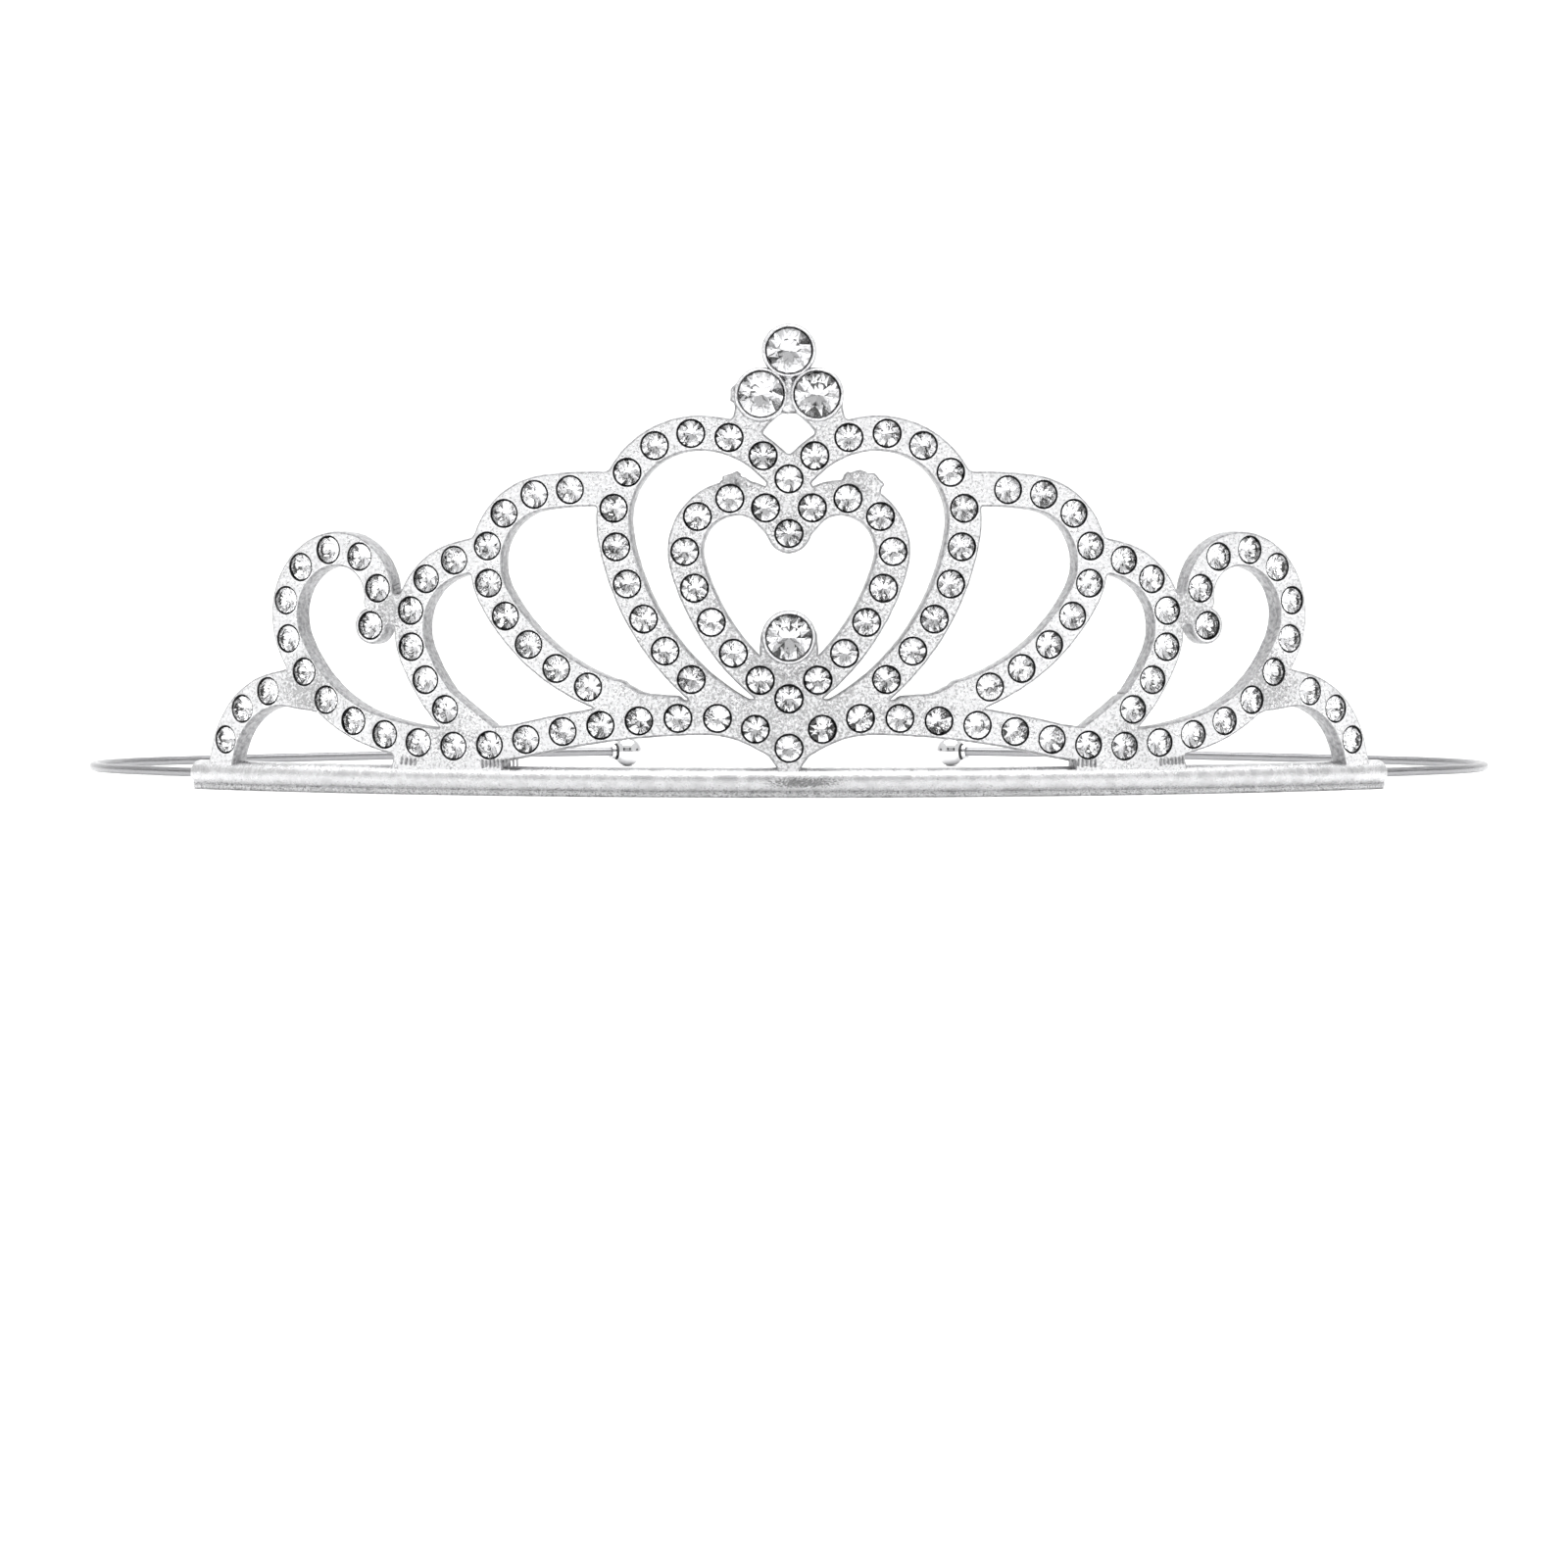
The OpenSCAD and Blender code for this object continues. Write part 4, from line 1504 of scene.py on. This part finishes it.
def stone_tree():
    """Geometry Nodes: a cut stone in each seat, turned and leant by chance."""
    n = Growth(
        "stones_in_seats",
        Stone="Object",
        Diameter="Float",
        Lean="Float",
        Seed="Int",
        Crystal="Material",
        Foil="Material",
    )
    given = n.given
    aim = n.aimed("Z", n.stored("facing", "FLOAT_VECTOR"))
    lean = n.chance(n.math("MULTIPLY", given["Lean"], -1.0), given["Lean"])
    tip = n.add("FunctionNodeEulerToRotation", {"Euler": lean}).outputs["Rotation"]
    turn = n.chance(0.0, 2 * math.pi, "FLOAT", 2)
    spin = n.add("FunctionNodeAxisAngleToRotation", {"Axis": (0, 0, 1), "Angle": turn}).outputs["Rotation"]
    index = n.add("GeometryNodeInputIndex").outputs["Index"]
    numbered = {
        "Geometry": given["Geometry"],
        "Name": "stone_number",
        "Value": n.math("MULTIPLY_ADD", index, 0.37, given["Seed"]),
    }
    seats = n.add("GeometryNodeStoreNamedAttribute", numbered, data_type="FLOAT", domain="POINT")
    rotation = n.turned(n.turned(aim, tip), spin)
    stones = n.placed(seats.outputs["Geometry"], given["Stone"], rotation, given["Diameter"])
    clear = n.painted(stones, given["Crystal"])
    return n.close(n.painted(clear, given["Foil"], Selection=n.stored("foiled", "BOOLEAN")))


def set_stones(scene, node, seats, diameter, seed):
    """Sets stones at seats of (place, facing) and makes them one plain piece."""
    name = "cut_" + node
    stones = scene.crown_stones
    finish = scene.crown_finish
    pattern = bpy.data.objects.get("stone_pattern")
    if pattern is None:
        pattern = bpy.data.objects.new("stone_pattern", cut_stone(stones))
    tree = bpy.data.node_groups.get("stones_in_seats") or stone_tree()
    piece = put(name, plain_mesh(name, [place for place, _ in seats], [], []))
    store(piece.data, "facing", "FLOAT_VECTOR", "POINT", [c for _, way in seats for c in way])
    given = {
        "Stone": pattern,
        "Diameter": diameter,
        "Lean": stones.lean,
        "Seed": seed,
        "Crystal": shared("cut_crystal", cut_crystal, finish),
        "Foil": shared("stone_foil", stone_foil, finish),
    }
    least_faces = 50
    grow_piece(piece, tree, given, least_faces * len(seats))
    stand_for(piece, "crystal", node)


class CROWN_OT_small_stones(bpy.types.Operator):
    """Set the rows and single small stones"""

    bl_idname = "crown.small_stones"
    bl_label = "Small stones"

    def execute(self, context):
        scene = context.scene
        m = Measures(scene)
        first_seed = scene.crown_stones.seed + 1
        groups = {}
        for row_name, row in STONE_ROWS.items():
            for side, sign in (("left", -1), ("right", 1)):
                groups[row_name + "_" + side] = [(sign * x, y) for x, y in row_places(row)]
        groups.update({node: [place] for node, place in SINGLE_STONES.items()})
        for seed, (node, places) in enumerate(groups.items(), first_seed):
            seats = [(m.point(x, y), m.outward(x)) for x, y in places]
            set_stones(scene, node, seats, scene.crown_stones.small, seed)
        return {"FINISHED"}


class CROWN_OT_large_stones(bpy.types.Operator):
    """Set the four large stones in their collets"""

    bl_idname = "crown.large_stones"
    bl_label = "Large stones"

    def execute(self, context):
        scene = context.scene
        m = Measures(scene)
        first_seed = scene.crown_stones.seed + 40
        for seed, (node, (x, y)) in enumerate(LARGE_STONES.items(), first_seed):
            seat = (m.point(x, y, m.collet_rise), m.outward(x))
            set_stones(scene, node, [seat], scene.crown_stones.large, seed)
        return {"FINISHED"}


# Stage


def sweep_mesh(name, front=-6.0, bend=0.9, radius=0.5, top=1.8, side=20.0):
    """Floor that curves up into a backdrop behind."""
    turns = np.radians(range(6, 90, 6))
    profile = [(front, 0.0), (bend, 0.0)]
    profile += [(bend + radius * math.sin(a), radius - radius * math.cos(a)) for a in turns]
    profile += [(bend + radius, radius), (bend + radius, top)]
    vertices = [(x, y, z) for y, z in profile for x in (-side, side)]
    faces = [(2 * k, 2 * k + 1, 2 * k + 3, 2 * k + 2) for k in range(len(profile) - 1)]
    mesh = plain_mesh(name, vertices, [], faces)
    mesh.shade_smooth()
    return mesh


def soft_light(name, place, target, size, power):
    """A square light of a size in metres and a power in watts."""
    data = bpy.data.lights.new(name, "AREA")
    data.shape = "RECTANGLE"
    data.size, data.size_y = size
    data.energy = power
    lamp = put(name, data)
    lamp.location = place
    lamp.rotation_euler = (Vector(target) - Vector(place)).to_track_quat("-Z", "Y").to_euler()


def room_light(look):
    """A pale room with darker panels high up on both sides, which give the facets their contrast."""
    world = bpy.data.worlds.new("pale_room")
    bpy.context.scene.world = world
    world.use_nodes = True
    n = Nodes(world.node_tree)
    way = n.add("ShaderNodeTexCoord").outputs["Generated"]
    split = n.add("ShaderNodeSeparateXYZ", {"Vector": way})
    sides = n.tones(n.math("ABSOLUTE", split.outputs["X"]), PANEL_TONES)
    high = n.tones(split.outputs["Z"], PANEL_HEIGHTS)
    room = n.mix(high, (1.0, 1.0, 1.0), sides)
    back = n.add("ShaderNodeBackground", {"Color": room, "Strength": look.room})
    n.add("ShaderNodeOutputWorld", {"Surface": back.outputs["Background"]})


class CROWN_OT_stage(bpy.types.Operator):
    """Set the floor, the light and the camera"""

    bl_idname = "crown.stage"
    bl_label = "Floor, light and camera"

    def execute(self, context):
        scene = context.scene
        look = scene.crown_stage
        m = Measures(scene)
        floor = put("floor_sweep", sweep_mesh("floor_sweep"))
        floor.data.materials.append(stage_paint(look))
        room_light(look)
        soft_light("overhead", (0, -0.2, 1.2), (0, -0.2, 0), (1.6, 1.3), 17)
        soft_light("backdrop", (0, 0.3, 1.3), (0, 1.4, 0.3), (2.0, 0.5), 9)
        scene.view_settings.view_transform = "Standard"
        data = bpy.data.cameras.new("photo_camera")
        data.lens = look.lens
        data.sensor_width = 36
        data.clip_start = 0.05
        camera = put("photo_camera", data)
        front = Vector((0, m.arc_y - m.brow - m.bar_r, m.axis_z)) * MM
        away = Vector((0, -math.cos(look.elevation), math.sin(look.elevation)))
        camera.location = front + away * look.distance
        aim = front + Vector((-0.0005, 0, -0.0003))
        camera.rotation_euler = (aim - camera.location).to_track_quat("-Z", "Y").to_euler()
        scene.camera = camera
        return {"FINISHED"}


# Add-on


class CROWN_PT_panel(bpy.types.Panel):
    """Lists the crown's pieces"""

    bl_idname = "CROWN_PT_panel"
    bl_label = "Crown headband"
    bl_space_type = "VIEW_3D"
    bl_region_type = "UI"
    bl_category = "Crown"

    def draw(self, context):
        for operator in OPERATORS:
            self.layout.operator(operator.bl_idname)


GROUPS = {
    "crown_sizes": CrownSizes,
    "crown_stones": StoneSizes,
    "crown_finish": CrownFinish,
    "crown_stage": StageLook,
}
OPERATORS = (
    CROWN_OT_stage,
    CROWN_OT_casting,
    CROWN_OT_collets,
    CROWN_OT_ribs,
    CROWN_OT_bar,
    CROWN_OT_wire,
    CROWN_OT_balls,
    CROWN_OT_small_stones,
    CROWN_OT_large_stones,
)


def register():
    for group in GROUPS.values():
        bpy.utils.register_class(group)
    for name, group in GROUPS.items():
        setattr(bpy.types.Scene, name, PointerProperty(type=group))
    for operator in OPERATORS:
        bpy.utils.register_class(operator)
    bpy.utils.register_class(CROWN_PT_panel)


def unregister():
    bpy.utils.unregister_class(CROWN_PT_panel)
    for operator in reversed(OPERATORS):
        bpy.utils.unregister_class(operator)
    for name in GROUPS:
        delattr(bpy.types.Scene, name)
    for group in reversed(list(GROUPS.values())):
        bpy.utils.unregister_class(group)


def main():
    register()
    for operator in OPERATORS:
        group, name = operator.bl_idname.split(".")
        getattr(getattr(bpy.ops, group), name)()


if __name__ == "__main__":
    main()
